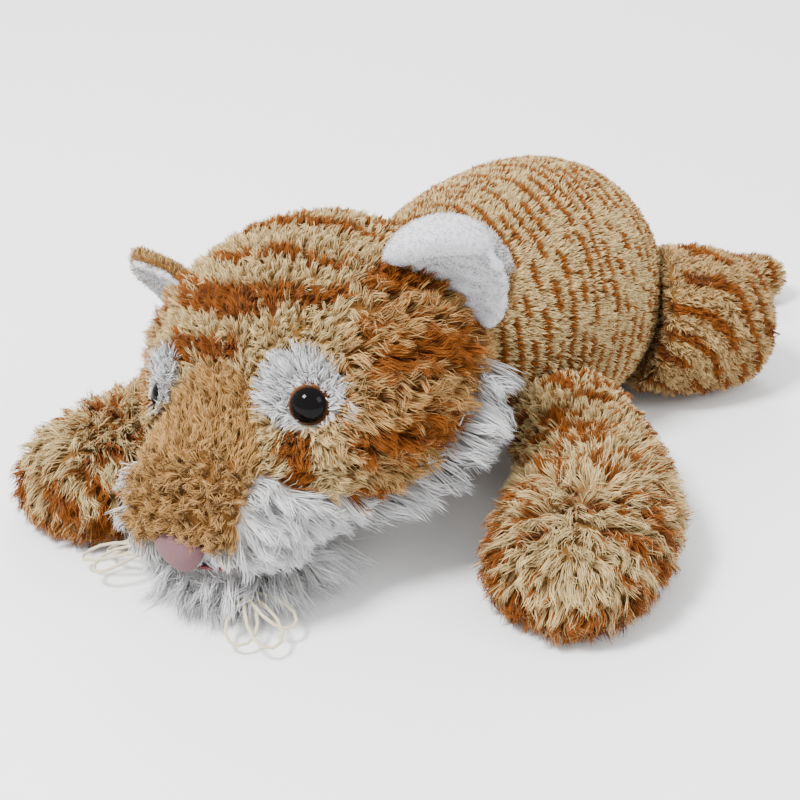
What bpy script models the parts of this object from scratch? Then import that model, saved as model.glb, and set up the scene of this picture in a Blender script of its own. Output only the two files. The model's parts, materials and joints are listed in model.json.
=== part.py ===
"""A floppy plush tiger lying on its belly, chin on the floor and legs splayed.

Metres, +Z up. The tiger faces -Y and its left side is +X. The origin is on the floor, in the
middle of the belly's resting face. Every fabric cover is a shell that is open where the next
piece joins it, and the filling behind it is a piece of its own.
"""

import bmesh
import bpy
from math import cos, pi, radians, sin
from mathutils import Matrix, Vector

# Fabric, filling and fits
COVER_WALL = 0.0022
SEAM_GAP = 0.0004
PIVOT_GAP = 0.0006
FLOOR_CUT = 0.0005
PILE_LIFT = 0.0024

# Trunk
TRUNK_LENGTH = 0.200
TRUNK_WIDTH = 0.136
TRUNK_HEIGHT = 0.139
BELLY_SEAM_HEIGHT = 0.030
PELLET_BAG_LENGTH = 0.070
PELLET_BAG_WIDTH = 0.076
PELLET_BAG_HEIGHT = 0.036
PELLET_BAG_REARWARD = 0.026
PELLET_BAG_BASE = 0.0016
NECK_RIM_FORWARD = 0.078

# Neck, a round stuffed gusset that both the trunk and the head are hollowed for
NECK_RADIUS = 0.046
NECK_HEIGHT = 0.072
NECK_FORWARD = 0.084
NECK_SIDEWAYS = 0.003
NECK_OPENING_RADIUS = 0.030

# Head, measured in its own frame from the neck's centre, nose towards -Y
HEAD_LENGTH = 0.192
HEAD_WIDTH = 0.164
HEAD_HEIGHT = 0.126
HEAD_BEHIND_NECK = 0.016
HEAD_RISE = 0.026
HEAD_NOD_DEGREES = 10
HEAD_TILT_DEGREES = -14
HEAD_YAW_DEGREES = 2
MUZZLE_PANEL_SHARE = 0.344

# Face
EYE_RADIUS = 0.0085
EYE_DOME = 0.0062
EYE_SIDEWAYS_SHARE = 0.28
EYE_ALONG_SHARE = 0.6875
EYE_RISE_SHARE = 0.286
EYE_SPLAY_DEGREES = 40
EYE_LIFT_DEGREES = 22
EYE_OUTSET = 0.0012
EYE_SHANK_RADIUS = 0.0024
EYE_SHANK_LENGTH = 0.013
EYE_WASHER_RADIUS = 0.0080
EYE_WASHER_WALL = 0.0018
EYE_PATCH_LENGTH = 0.050
EYE_PATCH_WIDTH = 0.042
NOSE_WIDTH = 0.024
NOSE_HEIGHT = 0.015
NOSE_DEPTH = 0.014
NOSE_DROP_SHARE = 0.214
NOSE_LIFT_DEGREES = -30
MOUTH_LIFT_DEGREES = -35
CHIN_LENGTH = 0.078
CHIN_WIDTH = 0.078
CHIN_HEIGHT = 0.046
CHIN_SETBACK = 0.006
MOUTH_THREAD_RADIUS = 0.0012
MOUTH_WIDTH = 0.036
MOUTH_DROP_SHARE = 0.286
MOUTH_BOW_SHARE = 0.125
RUFF_RADIUS = 0.009
WHISKER_RADIUS = 0.0008
WHISKER_LENGTH = 0.034
WHISKER_LOOP_WIDTH = 0.012
WHISKER_SAG = 0.007
WHISKER_PITCH = 0.0016
WHISKER_KNOT_RADIUS = 0.0026
WHISKER_BACK = 0.030
WHISKER_HEIGHT = 0.014
WHISKER_SPLAY_DEGREES = 62

# Ears
EAR_WIDTH = 0.056
EAR_HEIGHT = 0.050
EAR_WALL = 0.0026
EAR_CUP = 0.010
EAR_CURL = 0.010
EAR_SINK = 0.008
EAR_TIP_WIDTH_SHARE = 0.46
EAR_RIM_DROP_SHARE = 0.08
LEFT_EAR_ALONG_SHARE = 0.23
RIGHT_EAR_ALONG_SHARE = 0.33
EAR_AROUND_DEGREES = 19
EAR_LIFT_DEGREES = 48
EAR_TURN_DEGREES = 25

# Legs: the hinge's place, and the way the leg points where it starts and where it ends
LEG_SINK = 0.022
FRONT_LEG_LENGTH = 0.174
FRONT_LEG_WIDTH = 0.080
FRONT_LEG_HEIGHT = 0.056
HIND_LEG_LENGTH = 0.080
HIND_LEG_WIDTH = 0.078
HIND_LEG_HEIGHT = 0.082
LEFT_SHOULDER = (0.056, -0.034)
RIGHT_SHOULDER = (-0.065, -0.077)
LEFT_HIP = (0.046, 0.062)
RIGHT_HIP = (-0.046, 0.062)

# Tail
TAIL_LENGTH = 0.150
TAIL_WIDTH = 0.032
TAIL_HEIGHT = 0.032
TAIL_SINK = 0.016
TAIL_FROM_RUMP = 0.004

# Facets around each form
BODY_SIDES = 16
LIMB_SIDES = 10
FILLING_SIDES = 8
ROD_SEGMENTS = 20
BALL_SEGMENTS = 32
BALL_RINGS = 16

# The turns that each joint's hollow leaves room for, in degrees about +Z, and about the root for an ear
HEAD_TURNS = (-4, 0, 6, 12)
HEAD_NODS = (0, 5, 10)
LEFT_FRONT_SWINGS = (0, 12, 25)
RIGHT_FRONT_SWINGS = (0, -13, -24)
LEFT_HIND_SWINGS = (0, -12, -25)
RIGHT_HIND_SWINGS = (0, 12, 25)
TAIL_SWINGS = (0, 18)
EAR_FOLDS = (-15, 15)

# Rings of each form from its rear or root to its tip: place along, half width, bottom and top
trunk_ring_shares = (
    (0.00, 0.30, 0.28, 0.58),
    (0.04, 0.56, 0.15, 0.74),
    (0.14, 0.84, 0.03, 0.90),
    (0.30, 1.00, 0.00, 0.99),
    (0.50, 1.00, 0.00, 1.00),
    (0.70, 0.92, 0.02, 0.98),
    (0.85, 0.76, 0.09, 0.91),
    (0.95, 0.56, 0.20, 0.80),
    (1.00, 0.34, 0.30, 0.66),
)
head_ring_shares = (
    (0.00, 0.26, -0.24, 0.26),
    (0.05, 0.48, -0.48, 0.52),
    (0.13, 0.74, -0.76, 0.82),
    (0.25, 0.94, -0.92, 0.99),
    (0.38, 1.00, -0.94, 1.02),
    (0.50, 0.98, -0.92, 0.93),
    (0.61, 0.86, -0.88, 0.68),
    (0.70, 0.68, -0.86, 0.40),
    (0.80, 0.58, -0.85, 0.18),
    (0.90, 0.54, -0.82, 0.08),
    (0.97, 0.44, -0.70, -0.06),
    (1.00, 0.28, -0.54, -0.24),
)
chin_ring_shares = (
    (0.00, 0.40, 0.30, 0.80),
    (0.12, 0.76, 0.08, 0.96),
    (0.36, 1.00, 0.00, 1.00),
    (0.62, 0.96, 0.00, 1.00),
    (0.86, 0.74, 0.05, 0.94),
    (1.00, 0.40, 0.25, 0.74),
)
front_leg_ring_shares = (
    (0.00, 0.50, 0.46, 1.00),
    (0.12, 0.72, 0.30, 1.12),
    (0.28, 0.84, 0.12, 1.10),
    (0.46, 0.92, 0.02, 1.00),
    (0.64, 0.98, 0.00, 0.94),
    (0.80, 1.00, 0.00, 0.92),
    (0.93, 0.82, 0.03, 0.80),
    (1.00, 0.46, 0.16, 0.60),
)
hind_leg_ring_shares = (
    (0.00, 0.60, 0.30, 0.90),
    (0.15, 0.84, 0.14, 1.04),
    (0.36, 0.98, 0.02, 1.04),
    (0.60, 1.00, 0.00, 1.00),
    (0.82, 0.92, 0.00, 0.92),
    (0.94, 0.70, 0.06, 0.80),
    (1.00, 0.40, 0.22, 0.62),
)
tail_ring_shares = (
    (0.00, 0.90, 0.80, 1.70),
    (0.12, 0.96, 0.60, 1.56),
    (0.30, 0.96, 0.16, 1.16),
    (0.52, 0.96, 0.00, 1.00),
    (0.84, 1.00, 0.00, 1.02),
    (0.95, 0.78, 0.10, 0.90),
    (1.00, 0.40, 0.30, 0.70),
)

# The ruff along the jaw: place along the head, degrees round it from the side, and thickness
ruff_shares = (
    (0.62, -60, 0.45),
    (0.56, -51, 0.75),
    (0.48, -41, 0.95),
    (0.39, -29, 1.00),
    (0.32, -20, 0.90),
    (0.27, -14, 0.70),
    (0.23, -9, 0.40),
)

# The loops of a whisker bunch: degrees turned from its middle, and length
whisker_shares = ((-28, 0.8), (0, 1.0), (28, 0.8))

# The way each limb points at its root and at its tip, in degrees from -Y towards +X
LEFT_FRONT_HEADINGS = (72, -10)
RIGHT_FRONT_HEADINGS = (-14, -2)
HIND_HEADINGS = (150, 168)
TAIL_HEADINGS = (184, 140)

for old in list(bpy.data.objects):
    bpy.data.objects.remove(old)
tiger = bpy.data.collections.new("plush_tiger")
cutters = bpy.data.collections.new("cutters")
bpy.context.scene.collection.children.link(tiger)
bpy.context.scene.collection.children.link(cutters)


def material(name, colour, roughness):
    """A plain Principled material."""
    made = bpy.data.materials.new(name)
    made.use_nodes = True
    shader = made.node_tree.nodes["Principled BSDF"]
    shader.inputs["Base Color"].default_value = (*colour, 1)
    shader.inputs["Roughness"].default_value = roughness
    shader.inputs["Metallic"].default_value = 0
    made.diffuse_color = (*colour, 1)
    return made


STRIPED_PLUSH = material("striped_plush", (0.62, 0.36, 0.13), 0.95)
GOLDEN_PLUSH = material("golden_plush", (0.66, 0.40, 0.16), 0.95)
WHITE_PLUSH = material("white_plush", (0.80, 0.79, 0.80), 0.95)
BELLY_PLUSH = material("belly_plush", (0.45, 0.24, 0.09), 0.95)
VELOUR = material("white_velour", (0.82, 0.81, 0.83), 0.9)
FILLING = material("polyester_filling", (0.86, 0.86, 0.84), 1.0)
PELLETS = material("pellet_bag_cloth", (0.70, 0.70, 0.66), 0.9)
EYE_PLASTIC = material("eye_plastic", (0.012, 0.008, 0.006), 0.08)
WASHER_PLASTIC = material("washer_plastic", (0.75, 0.75, 0.72), 0.5)
NOSE_FELT = material("nose_velour", (0.55, 0.27, 0.27), 0.9)
MOUTH_THREAD = material("mouth_thread", (0.28, 0.10, 0.11), 0.8)
WHISKER_YARN = material("whisker_yarn", (0.80, 0.74, 0.52), 0.8)


def empty(name, place=(0, 0, 0), turn=(0, 0, 0), parent=None):
    """An empty that stands on a joint's axis, or carries a group of pieces."""
    made = bpy.data.objects.new(name, None)
    made.location = place
    made.rotation_euler = [radians(angle) for angle in turn]
    made.parent = parent
    tiger.objects.link(made)
    bpy.context.view_layer.update()
    return made


def add_object(name, mesh, finish=None, parent=None):
    """A piece of the toy, or a hidden cutter where it has no finish."""
    made = bpy.data.objects.new(name, mesh)
    made.parent = parent
    if finish:
        mesh.materials.append(finish)
        tiger.objects.link(made)
    else:
        made.hide_render = True
        made.display_type = "WIRE"
        cutters.objects.link(made)
    return made


def sheet_of(bm, name):
    """The bmesh as a smooth-shaded mesh, its faces as they are."""
    mesh = bpy.data.meshes.new(name)
    bm.to_mesh(mesh)
    bm.free()
    mesh.shade_smooth()
    return mesh


def mesh_of(bm, name):
    """The closed bmesh as a smooth-shaded mesh with its faces pointing out."""
    bmesh.ops.recalc_face_normals(bm, faces=bm.faces)
    if bm.calc_volume(signed=True) < 0:
        bmesh.ops.reverse_faces(bm, faces=bm.faces)
    return sheet_of(bm, name)


def subdivide(piece):
    """Rounds a coarse cage."""
    modifier = piece.modifiers.new("round", "SUBSURF")
    modifier.levels = 1
    modifier.render_levels = modifier.levels


def cut(piece, *tools, keep=False):
    """Takes each tool away from the piece, or keeps only what lies inside it."""
    for tool in tools:
        modifier = piece.modifiers.new(tool.name, "BOOLEAN")
        modifier.operation = "INTERSECT" if keep else "DIFFERENCE"
        modifier.solver = "EXACT"
        modifier.object = tool


def evaluated_mesh(piece):
    """The piece's mesh with its modifiers applied, still in its own frame."""
    bpy.context.view_layer.update()
    graph = bpy.context.evaluated_depsgraph_get()
    return bpy.data.meshes.new_from_object(piece.evaluated_get(graph))


def lowest_point(piece):
    """The height of the piece's lowest point above the floor."""
    mesh = evaluated_mesh(piece)
    return min((piece.matrix_world @ vertex.co).z for vertex in mesh.vertices)


def ring_point(around, place, side, half_width, bottom, top):
    """One point of a ring: round above its middle, and squarer towards the floor."""
    across, upwards = cos(around), sin(around)
    if upwards < 0:
        across = abs(across) ** 0.8 * (1 if across > 0 else -1)
        upwards = -(abs(upwards) ** 0.8)
    reach = (top - bottom) / 2
    middle = (top + bottom) / 2
    return place + side * half_width * across + Vector((0, 0, middle + reach * upwards))


def soft_form(name, rings, sides, finish=None, parent=None):
    """A stuffed form: rings of a cage bridged into a closed skin and rounded."""
    bm = bmesh.new()
    swell = 3 / (2 + cos(2 * pi / sides))
    loops = []
    for place, side, half_width, bottom, top in rings:
        middle = (top + bottom) / 2
        low, high = middle + (bottom - middle) * swell, middle + (top - middle) * swell
        points = bmesh.ops.create_circle(bm, segments=sides, radius=1)["verts"]
        for count, point in enumerate(points):
            around = 2 * pi * (count + 0.5) / sides
            point.co = ring_point(around, place, side, half_width * swell, low, high)
        loops.append(list({edge for point in points for edge in point.link_edges}))
    for one, following in zip(loops, loops[1:]):
        bmesh.ops.bridge_loops(bm, edges=one + following)
    for end in (loops[0], loops[-1]):
        bmesh.ops.contextual_create(bm, geom=end)
    made = add_object(name, mesh_of(bm, name), finish, parent)
    subdivide(made)
    return made


def arc_place(along, length, headings):
    """A point of a limb's bent middle line, and the level direction across the limb there."""
    first, last = (radians(angle) for angle in headings)
    bend = (last - first) / length
    heading = first + bend * along
    place = Vector((cos(first) - cos(heading), sin(first) - sin(heading), 0)) / bend
    return place, Vector((cos(heading), sin(heading), 0))


def limb_rings(shares, length, width, height, sink, headings, grow=0.0):
    """A limb's rings, from its sunk root to its tip, grown or shrunk all round."""
    rings = []
    for along_share, width_share, bottom_share, top_share in shares:
        along = -sink - grow + along_share * (length + sink + 2 * grow)
        place, side = arc_place(along, length, headings)
        half_width = width / 2 * width_share + grow
        bottom = height * bottom_share - grow
        top = height * top_share + grow
        rings.append((place, side, half_width, bottom, top))
    return rings


def straight_rings(shares, start, length, width, height, rise=0.0, grow=0.0):
    """Rings along -Y from the start, for the trunk, the head and the chin."""
    rings = []
    for along_share, width_share, bottom_share, top_share in shares:
        along = start + grow - along_share * (length + 2 * grow)
        half_width = width / 2 * width_share + grow
        bottom = rise + height * bottom_share - grow
        top = rise + height * top_share + grow
        rings.append((Vector((0, along, 0)), Vector((1, 0, 0)), half_width, bottom, top))
    return rings


def ball(name, radius, finish=None, parent=None, segments=BALL_SEGMENTS, rings=BALL_RINGS):
    """A sphere about its parent's origin."""
    bm = bmesh.new()
    bmesh.ops.create_uvsphere(bm, u_segments=segments, v_segments=rings, radius=radius)
    return add_object(name, mesh_of(bm, name), finish, parent)


def box(name, low, high):
    """A cutter between two corners."""
    bm = bmesh.new()
    size = Vector(high) - Vector(low)
    middle = (Vector(high) + Vector(low)) / 2
    bmesh.ops.create_cube(bm, size=1, matrix=Matrix.Translation(middle) @ Matrix.Diagonal((*size, 1)))
    return add_object(name, mesh_of(bm, name))


def rod(name, radius, length, finish=None, parent=None, base=0.0, segments=ROD_SEGMENTS):
    """A cylinder along its parent's +Z, from the base up."""
    bm = bmesh.new()
    bmesh.ops.create_cone(
        bm,
        segments=segments,
        cap_ends=True,
        radius1=radius,
        radius2=radius,
        depth=length,
        matrix=Matrix.Translation((0, 0, base + length / 2)),
    )
    return add_object(name, mesh_of(bm, name), finish, parent)


def turn_about(pivot, angle, axis="Z"):
    """A turn by this many degrees about an axis through the pivot."""
    there = Matrix.Translation(pivot)
    return there @ Matrix.Rotation(radians(angle), 4, axis) @ there.inverted()


def swept_room(name, form, moves):
    """One convex cutter round everywhere that a form goes in these moves."""
    points = [form.matrix_world @ vertex.co for vertex in form.data.vertices]
    bm = bmesh.new()
    for move in moves:
        for point in points:
            bm.verts.new(move @ point)
    hull = bmesh.ops.convex_hull(bm, input=bm.verts)
    inner = [item for item in hull["geom_interior"] if isinstance(item, bmesh.types.BMVert)]
    bmesh.ops.delete(bm, geom=inner, context="VERTS")
    return add_object(name, mesh_of(bm, name))


def frozen(piece):
    """The same shape with its modifiers applied, as a cutter."""
    made = add_object(f"{piece.name}_frozen", evaluated_mesh(piece))
    made.matrix_world = piece.matrix_world.copy()
    return made


REACH = 2 * (TRUNK_LENGTH + HEAD_LENGTH + TAIL_LENGTH)
floor = box("floor", (-REACH, -REACH, -TRUNK_HEIGHT), (REACH, REACH, 0))

# Trunk: a two-part cover, the stuffing and a bag of pellets low in the belly


def trunk_form(name, sides, grow=0.0, finish=None):
    """The trunk's form, grown or shrunk all round."""
    sizes = (TRUNK_LENGTH / 2, TRUNK_LENGTH, TRUNK_WIDTH, TRUNK_HEIGHT)
    rings = straight_rings(trunk_ring_shares, *sizes, grow=grow)
    return soft_form(name, rings, sides, finish, trunk_root)


trunk_root = empty("trunk_root")
neck_place = (-NECK_SIDEWAYS, -NECK_FORWARD, NECK_HEIGHT)
neck_turn = empty("neck_turn", neck_place)
facet_loss = cos(pi / BALL_SEGMENTS) * cos(pi / (2 * BALL_RINGS))
neck_room = ball("neck_room", (NECK_RADIUS + SEAM_GAP / 2) / facet_loss, parent=neck_turn)
trunk_skin = trunk_form("trunk_skin", BODY_SIDES)
trunk_root.location.z = -lowest_point(trunk_skin) - FLOOR_CUT
trunk_cavity = frozen(trunk_form("trunk_inside", FILLING_SIDES, -COVER_WALL))
front_of_rim = box("front_of_rim", (-REACH, -REACH, 0), (REACH, -NECK_RIM_FORWARD, REACH))
below_seam = box("below_seam", (-REACH, -REACH, -REACH), (REACH, REACH, BELLY_SEAM_HEIGHT + SEAM_GAP / 2))
above_seam = box("above_seam", (-REACH, -REACH, BELLY_SEAM_HEIGHT - SEAM_GAP / 2), (REACH, REACH, REACH))

back_cover = trunk_form("back_cover", BODY_SIDES, finish=STRIPED_PLUSH)
cut(back_cover, trunk_cavity, neck_room, front_of_rim, below_seam)
belly_panel = trunk_form("belly_panel", BODY_SIDES, finish=BELLY_PLUSH)
cut(belly_panel, trunk_cavity, neck_room, front_of_rim, above_seam, floor)

body_stuffing = trunk_form("body_stuffing", FILLING_SIDES, -COVER_WALL - SEAM_GAP, FILLING)
stuffing_form = frozen(body_stuffing)


def cushion(name, grow, floor_height, finish=None):
    """The pellet bag's rounded block, grown all round."""
    half = Vector((PELLET_BAG_WIDTH, PELLET_BAG_LENGTH, 0)) / 2 + Vector((grow, grow, 0))
    top = PELLET_BAG_BASE + PELLET_BAG_HEIGHT + grow
    bm = bmesh.new()
    size = Vector((2 * half.x, 2 * half.y, top - floor_height))
    middle = Vector((0, PELLET_BAG_REARWARD, (top + floor_height) / 2))
    bmesh.ops.create_cube(bm, size=1, matrix=Matrix.Translation(middle) @ Matrix.Diagonal((*size, 1)))
    bmesh.ops.bevel(
        bm,
        geom=bm.edges[:],
        offset=PELLET_BAG_HEIGHT / 4,
        segments=3,
        profile=0.5,
        affect="EDGES",
        material=-1,
    )
    return add_object(name, mesh_of(bm, name), finish, trunk_root)


body_pellet_bag = cushion("body_pellet_bag", 0, PELLET_BAG_BASE, PELLETS)
cut(body_pellet_bag, stuffing_form, keep=True)
pellet_pocket = cushion("pellet_pocket", SEAM_GAP, -PELLET_BAG_HEIGHT)
cut(body_stuffing, neck_room, front_of_rim, pellet_pocket)

# Neck: a stuffed ball between the trunk and the head
neck_cover = ball("neck_cover", NECK_RADIUS, STRIPED_PLUSH, neck_turn)
neck_inside = ball("neck_inside", NECK_RADIUS - COVER_WALL, parent=neck_turn, segments=18, rings=10)
neck_bore = rod("neck_bore", NECK_OPENING_RADIUS, 4 * NECK_RADIUS, parent=neck_turn, base=-2 * NECK_RADIUS)
neck_bore.rotation_euler = (pi / 2, 0, 0)
cut(neck_cover, neck_inside, neck_bore)
neck_stuffing = ball("neck_stuffing", NECK_RADIUS - COVER_WALL - SEAM_GAP, FILLING, neck_turn, 18, 10)

# Head: its frame is turned, tilted and lowered onto the chin
head_nod = empty("head_nod", turn=(HEAD_NOD_DEGREES, HEAD_TILT_DEGREES, HEAD_YAW_DEGREES), parent=neck_turn)


def head_form(name, sides, grow=0.0, finish=None):
    """The head's form, grown or shrunk all round."""
    rings = straight_rings(
        head_ring_shares,
        HEAD_BEHIND_NECK,
        HEAD_LENGTH,
        HEAD_WIDTH,
        HEAD_HEIGHT / 2,
        rise=HEAD_RISE,
        grow=grow,
    )
    return soft_form(name, rings, sides, finish, head_nod)


head_skin = frozen(head_form("head_outline", BODY_SIDES))
head_seam_room = frozen(head_form("head_seam_outline", BODY_SIDES, SEAM_GAP))
head_pile = frozen(head_form("head_pile_outline", BODY_SIDES, PILE_LIFT))
head_cavity = frozen(head_form("head_inside", FILLING_SIDES, -COVER_WALL))
for head_tool in (head_skin, head_seam_room, head_pile, head_cavity):
    head_tool.parent = head_nod
    head_tool.matrix_parent_inverse.identity()
    head_tool.matrix_basis.identity()
bpy.context.view_layer.update()


def on_head(target, aim):
    """The point where a line from outside, along the aim and through the target, meets the head."""
    found, place, _, _ = head_skin.ray_cast(Vector(target) + aim * HEAD_LENGTH, -aim)
    return place if found else Vector(target)


def aim_of(splay, lift):
    """The outward direction that is turned from the nose by the splay and raised by the lift."""
    level = cos(radians(lift))
    return Vector((sin(radians(splay)) * level, -cos(radians(splay)) * level, sin(radians(lift))))


def empty_facing(name, place, aim, parent):
    """An empty whose +Z points along the aim."""
    made = empty(name, place, parent=parent)
    made.rotation_euler = aim.to_track_quat("Z", "Y").to_euler()
    bpy.context.view_layer.update()
    return made


def turned(name, profile, segments, finish=None, parent=None, ring=False):
    """A body of revolution about its parent's +Z, from radius and height pairs."""
    bm = bmesh.new()
    points = [bm.verts.new((radius, 0, height)) for radius, height in profile]
    ends = points[1:] + points[:1] if ring else points[1:]
    edges = [bm.edges.new(pair) for pair in zip(points, ends)]
    bmesh.ops.spin(bm, geom=points + edges, axis=(0, 0, 1), angle=2 * pi, steps=segments, use_merge=True)
    bmesh.ops.remove_doubles(bm, verts=bm.verts, dist=SEAM_GAP / 100)
    return add_object(name, mesh_of(bm, name), finish, parent)


# The trunk is hollowed for the back of the head, wherever the head turns and nods
head_moves = []
for turn in HEAD_TURNS:
    for nod in HEAD_NODS:
        head_moves.append(turn_about(neck_place, turn) @ turn_about(neck_place, -nod, "X"))
head_clearance = frozen(head_form("head_clearance", BODY_SIDES, PIVOT_GAP))
trunk_head_room = swept_room("trunk_head_room", head_clearance, head_moves)
cut(back_cover, trunk_head_room)
cut(body_stuffing, trunk_head_room)

head_cover = head_form("head_cover", BODY_SIDES, finish=STRIPED_PLUSH)
muzzle_cover = head_form("muzzle_cover", BODY_SIDES, finish=GOLDEN_PLUSH)
head_stuffing = head_form("head_stuffing", FILLING_SIDES, -COVER_WALL - SEAM_GAP, FILLING)
muzzle_seam = HEAD_BEHIND_NECK - HEAD_LENGTH * (1 - MUZZLE_PANEL_SHARE)
ahead_of_seam = box("ahead_of_seam", (-REACH, -REACH, -REACH), (REACH, muzzle_seam + SEAM_GAP / 2, REACH))
behind_seam = box("behind_seam", (-REACH, muzzle_seam - SEAM_GAP / 2, -REACH), (REACH, REACH, REACH))
for seam_tool in (ahead_of_seam, behind_seam):
    seam_tool.parent = head_nod
cut(head_cover, head_cavity, neck_room, ahead_of_seam)
cut(muzzle_cover, head_cavity, behind_seam)
cut(head_stuffing, neck_room)

# Eyes: a dome and shank in one moulding, held by a washer behind the fabric, on a white patch
dome = []
for step in range(7):
    around = pi / 2 * step / 6
    dome.append((EYE_RADIUS * sin(around), EYE_DOME * cos(around)))
eye_profile = dome + [
    (0.9 * EYE_RADIUS, -SEAM_GAP),
    (EYE_SHANK_RADIUS, -SEAM_GAP),
    (EYE_SHANK_RADIUS, -EYE_SHANK_LENGTH),
    (0, -EYE_SHANK_LENGTH),
]
washer_top = -EYE_OUTSET - COVER_WALL - SEAM_GAP
washer_profile = [
    (EYE_SHANK_RADIUS + SEAM_GAP, washer_top),
    (EYE_WASHER_RADIUS, washer_top),
    (EYE_WASHER_RADIUS, washer_top - EYE_WASHER_WALL),
    (EYE_SHANK_RADIUS + SEAM_GAP, washer_top - EYE_WASHER_WALL),
]
for name, side in (("left", 1), ("right", -1)):
    aim = aim_of(side * EYE_SPLAY_DEGREES, EYE_LIFT_DEGREES)
    along = HEAD_BEHIND_NECK - HEAD_LENGTH * EYE_ALONG_SHARE
    target = (side * HEAD_WIDTH * EYE_SIDEWAYS_SHARE, along, HEAD_HEIGHT * EYE_RISE_SHARE)
    place = on_head(target, aim)
    eye_place = empty_facing(f"{name}_eye_place", place + aim * EYE_OUTSET, aim, head_nod)
    turned(f"{name}_eye", eye_profile, 20, EYE_PLASTIC, eye_place)
    turned(f"{name}_eye_washer", washer_profile, 16, WASHER_PLASTIC, eye_place, ring=True)
    seat = rod(f"{name}_eye_seat", EYE_RADIUS + SEAM_GAP, EYE_DOME, parent=eye_place, base=-2 * SEAM_GAP)
    hole = rod(
        f"{name}_eye_hole",
        EYE_SHANK_RADIUS + SEAM_GAP,
        2 * EYE_SHANK_LENGTH,
        parent=eye_place,
        base=-EYE_SHANK_LENGTH - SEAM_GAP,
    )
    pocket = rod(
        f"{name}_washer_pocket",
        EYE_WASHER_RADIUS + SEAM_GAP,
        EYE_WASHER_WALL + 2 * SEAM_GAP,
        parent=eye_place,
        base=washer_top - EYE_WASHER_WALL - SEAM_GAP,
    )
    pocket_mouth = rod(
        f"{name}_washer_pocket_mouth",
        EYE_WASHER_RADIUS + SEAM_GAP,
        EYE_SHANK_LENGTH,
        parent=eye_place,
        base=washer_top - EYE_WASHER_WALL - SEAM_GAP,
    )
    patch_reach = (2 * EYE_PATCH_WIDTH, WHITE_PLUSH, eye_place, -EYE_PATCH_WIDTH / 2)
    patch = rod(f"{name}_eye_patch", 0.5, *patch_reach, 24)
    patch.data.transform(Matrix.Diagonal((EYE_PATCH_WIDTH, EYE_PATCH_LENGTH, 1, 1)))
    cut(patch, head_pile, keep=True)
    cut(patch, head_seam_room, seat, hole)
    cut(head_cover, pocket, hole, seat)
    cut(muzzle_cover, pocket, hole, seat)
    cut(head_stuffing, pocket_mouth, hole)


def tube(name, points, radius, thicknesses=None, finish=None, parent=None):
    """A round cord through the points, as a mesh with closed ends."""
    curve = bpy.data.curves.new(name, "CURVE")
    curve.dimensions = "3D"
    curve.bevel_depth = radius
    curve.bevel_resolution = 2
    curve.use_fill_caps = True
    spline = curve.splines.new("POLY")
    spline.points.add(len(points) - 1)
    for count, place in enumerate(points):
        spline.points[count].co = (*place, 1)
        spline.points[count].radius = thicknesses[count] if thicknesses else 1
    guide = bpy.data.objects.new(f"{name}_guide", curve)
    cutters.objects.link(guide)
    guide.hide_render = True
    bm = bmesh.new()
    bm.from_mesh(evaluated_mesh(guide))
    bmesh.ops.remove_doubles(bm, verts=bm.verts, dist=SEAM_GAP / 100)
    return add_object(name, mesh_of(bm, name), finish, parent)


# Nose: pink velour below the muzzle's front edge
nose_aim = aim_of(0, NOSE_LIFT_DEGREES)
nose_target = (0, -HEAD_LENGTH, HEAD_RISE / 2 - HEAD_HEIGHT * NOSE_DROP_SHARE)
nose_place = empty_facing("nose_place", on_head(nose_target, nose_aim), nose_aim, head_nod)
nose = ball("nose", 0.5, NOSE_FELT, nose_place, segments=16, rings=10)
nose.data.transform(Matrix.Diagonal((NOSE_WIDTH, NOSE_HEIGHT, NOSE_DEPTH, 1)))
cut(nose, head_seam_room)

# Mouth: a thick thread in the crease between the muzzle and the chin
mouth_aim = aim_of(0, MOUTH_LIFT_DEGREES)
mouth_height = HEAD_RISE / 2 - HEAD_HEIGHT * MOUTH_DROP_SHARE
mouth_points = []
for step in range(-4, 5):
    sideways = MOUTH_WIDTH / 2 * step / 4
    height = mouth_height - abs(sideways) * MOUTH_BOW_SHARE
    target = Vector((sideways, HEAD_BEHIND_NECK - HEAD_LENGTH, height))
    mouth_points.append(on_head(target, mouth_aim) + mouth_aim * (MOUTH_THREAD_RADIUS + SEAM_GAP))
mouth_stitch = tube("mouth_stitch", mouth_points, MOUTH_THREAD_RADIUS, None, MOUTH_THREAD, head_nod)
mouth_room = tube("mouth_room", mouth_points, MOUTH_THREAD_RADIUS + SEAM_GAP, parent=head_nod)
nose_room = ball("nose_room", 0.5, parent=nose_place, segments=16, rings=10)
nose_room_size = Vector((NOSE_WIDTH, NOSE_HEIGHT, NOSE_DEPTH)) + Vector((1, 1, 1)) * 2 * SEAM_GAP
nose_room.data.transform(Matrix.Diagonal((*nose_room_size, 1)))
cut(mouth_stitch, nose_room, head_seam_room)

# Chin: a long-piled white cushion that holds the head off the floor, level under the tilted head
head_turn_matrix = head_nod.matrix_world.to_3x3()
chin_rear = HEAD_BEHIND_NECK - HEAD_LENGTH + CHIN_SETBACK + CHIN_LENGTH
chin_place = empty("chin_place", (0, chin_rear, 0), parent=head_nod)
chin_place.rotation_euler = head_turn_matrix.inverted().to_euler()
bpy.context.view_layer.update()
chin_rings = straight_rings(chin_ring_shares, 0, CHIN_LENGTH, CHIN_WIDTH, CHIN_HEIGHT)
chin = soft_form("chin", chin_rings, LIMB_SIDES, WHITE_PLUSH, chin_place)
drop = lowest_point(chin) + FLOOR_CUT
chin_place.location += head_turn_matrix.inverted() @ Vector((0, 0, -drop))
bpy.context.view_layer.update()
chin_form = frozen(chin)
chin_room_rings = straight_rings(chin_ring_shares, 0, CHIN_LENGTH, CHIN_WIDTH, CHIN_HEIGHT, grow=SEAM_GAP)
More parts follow.
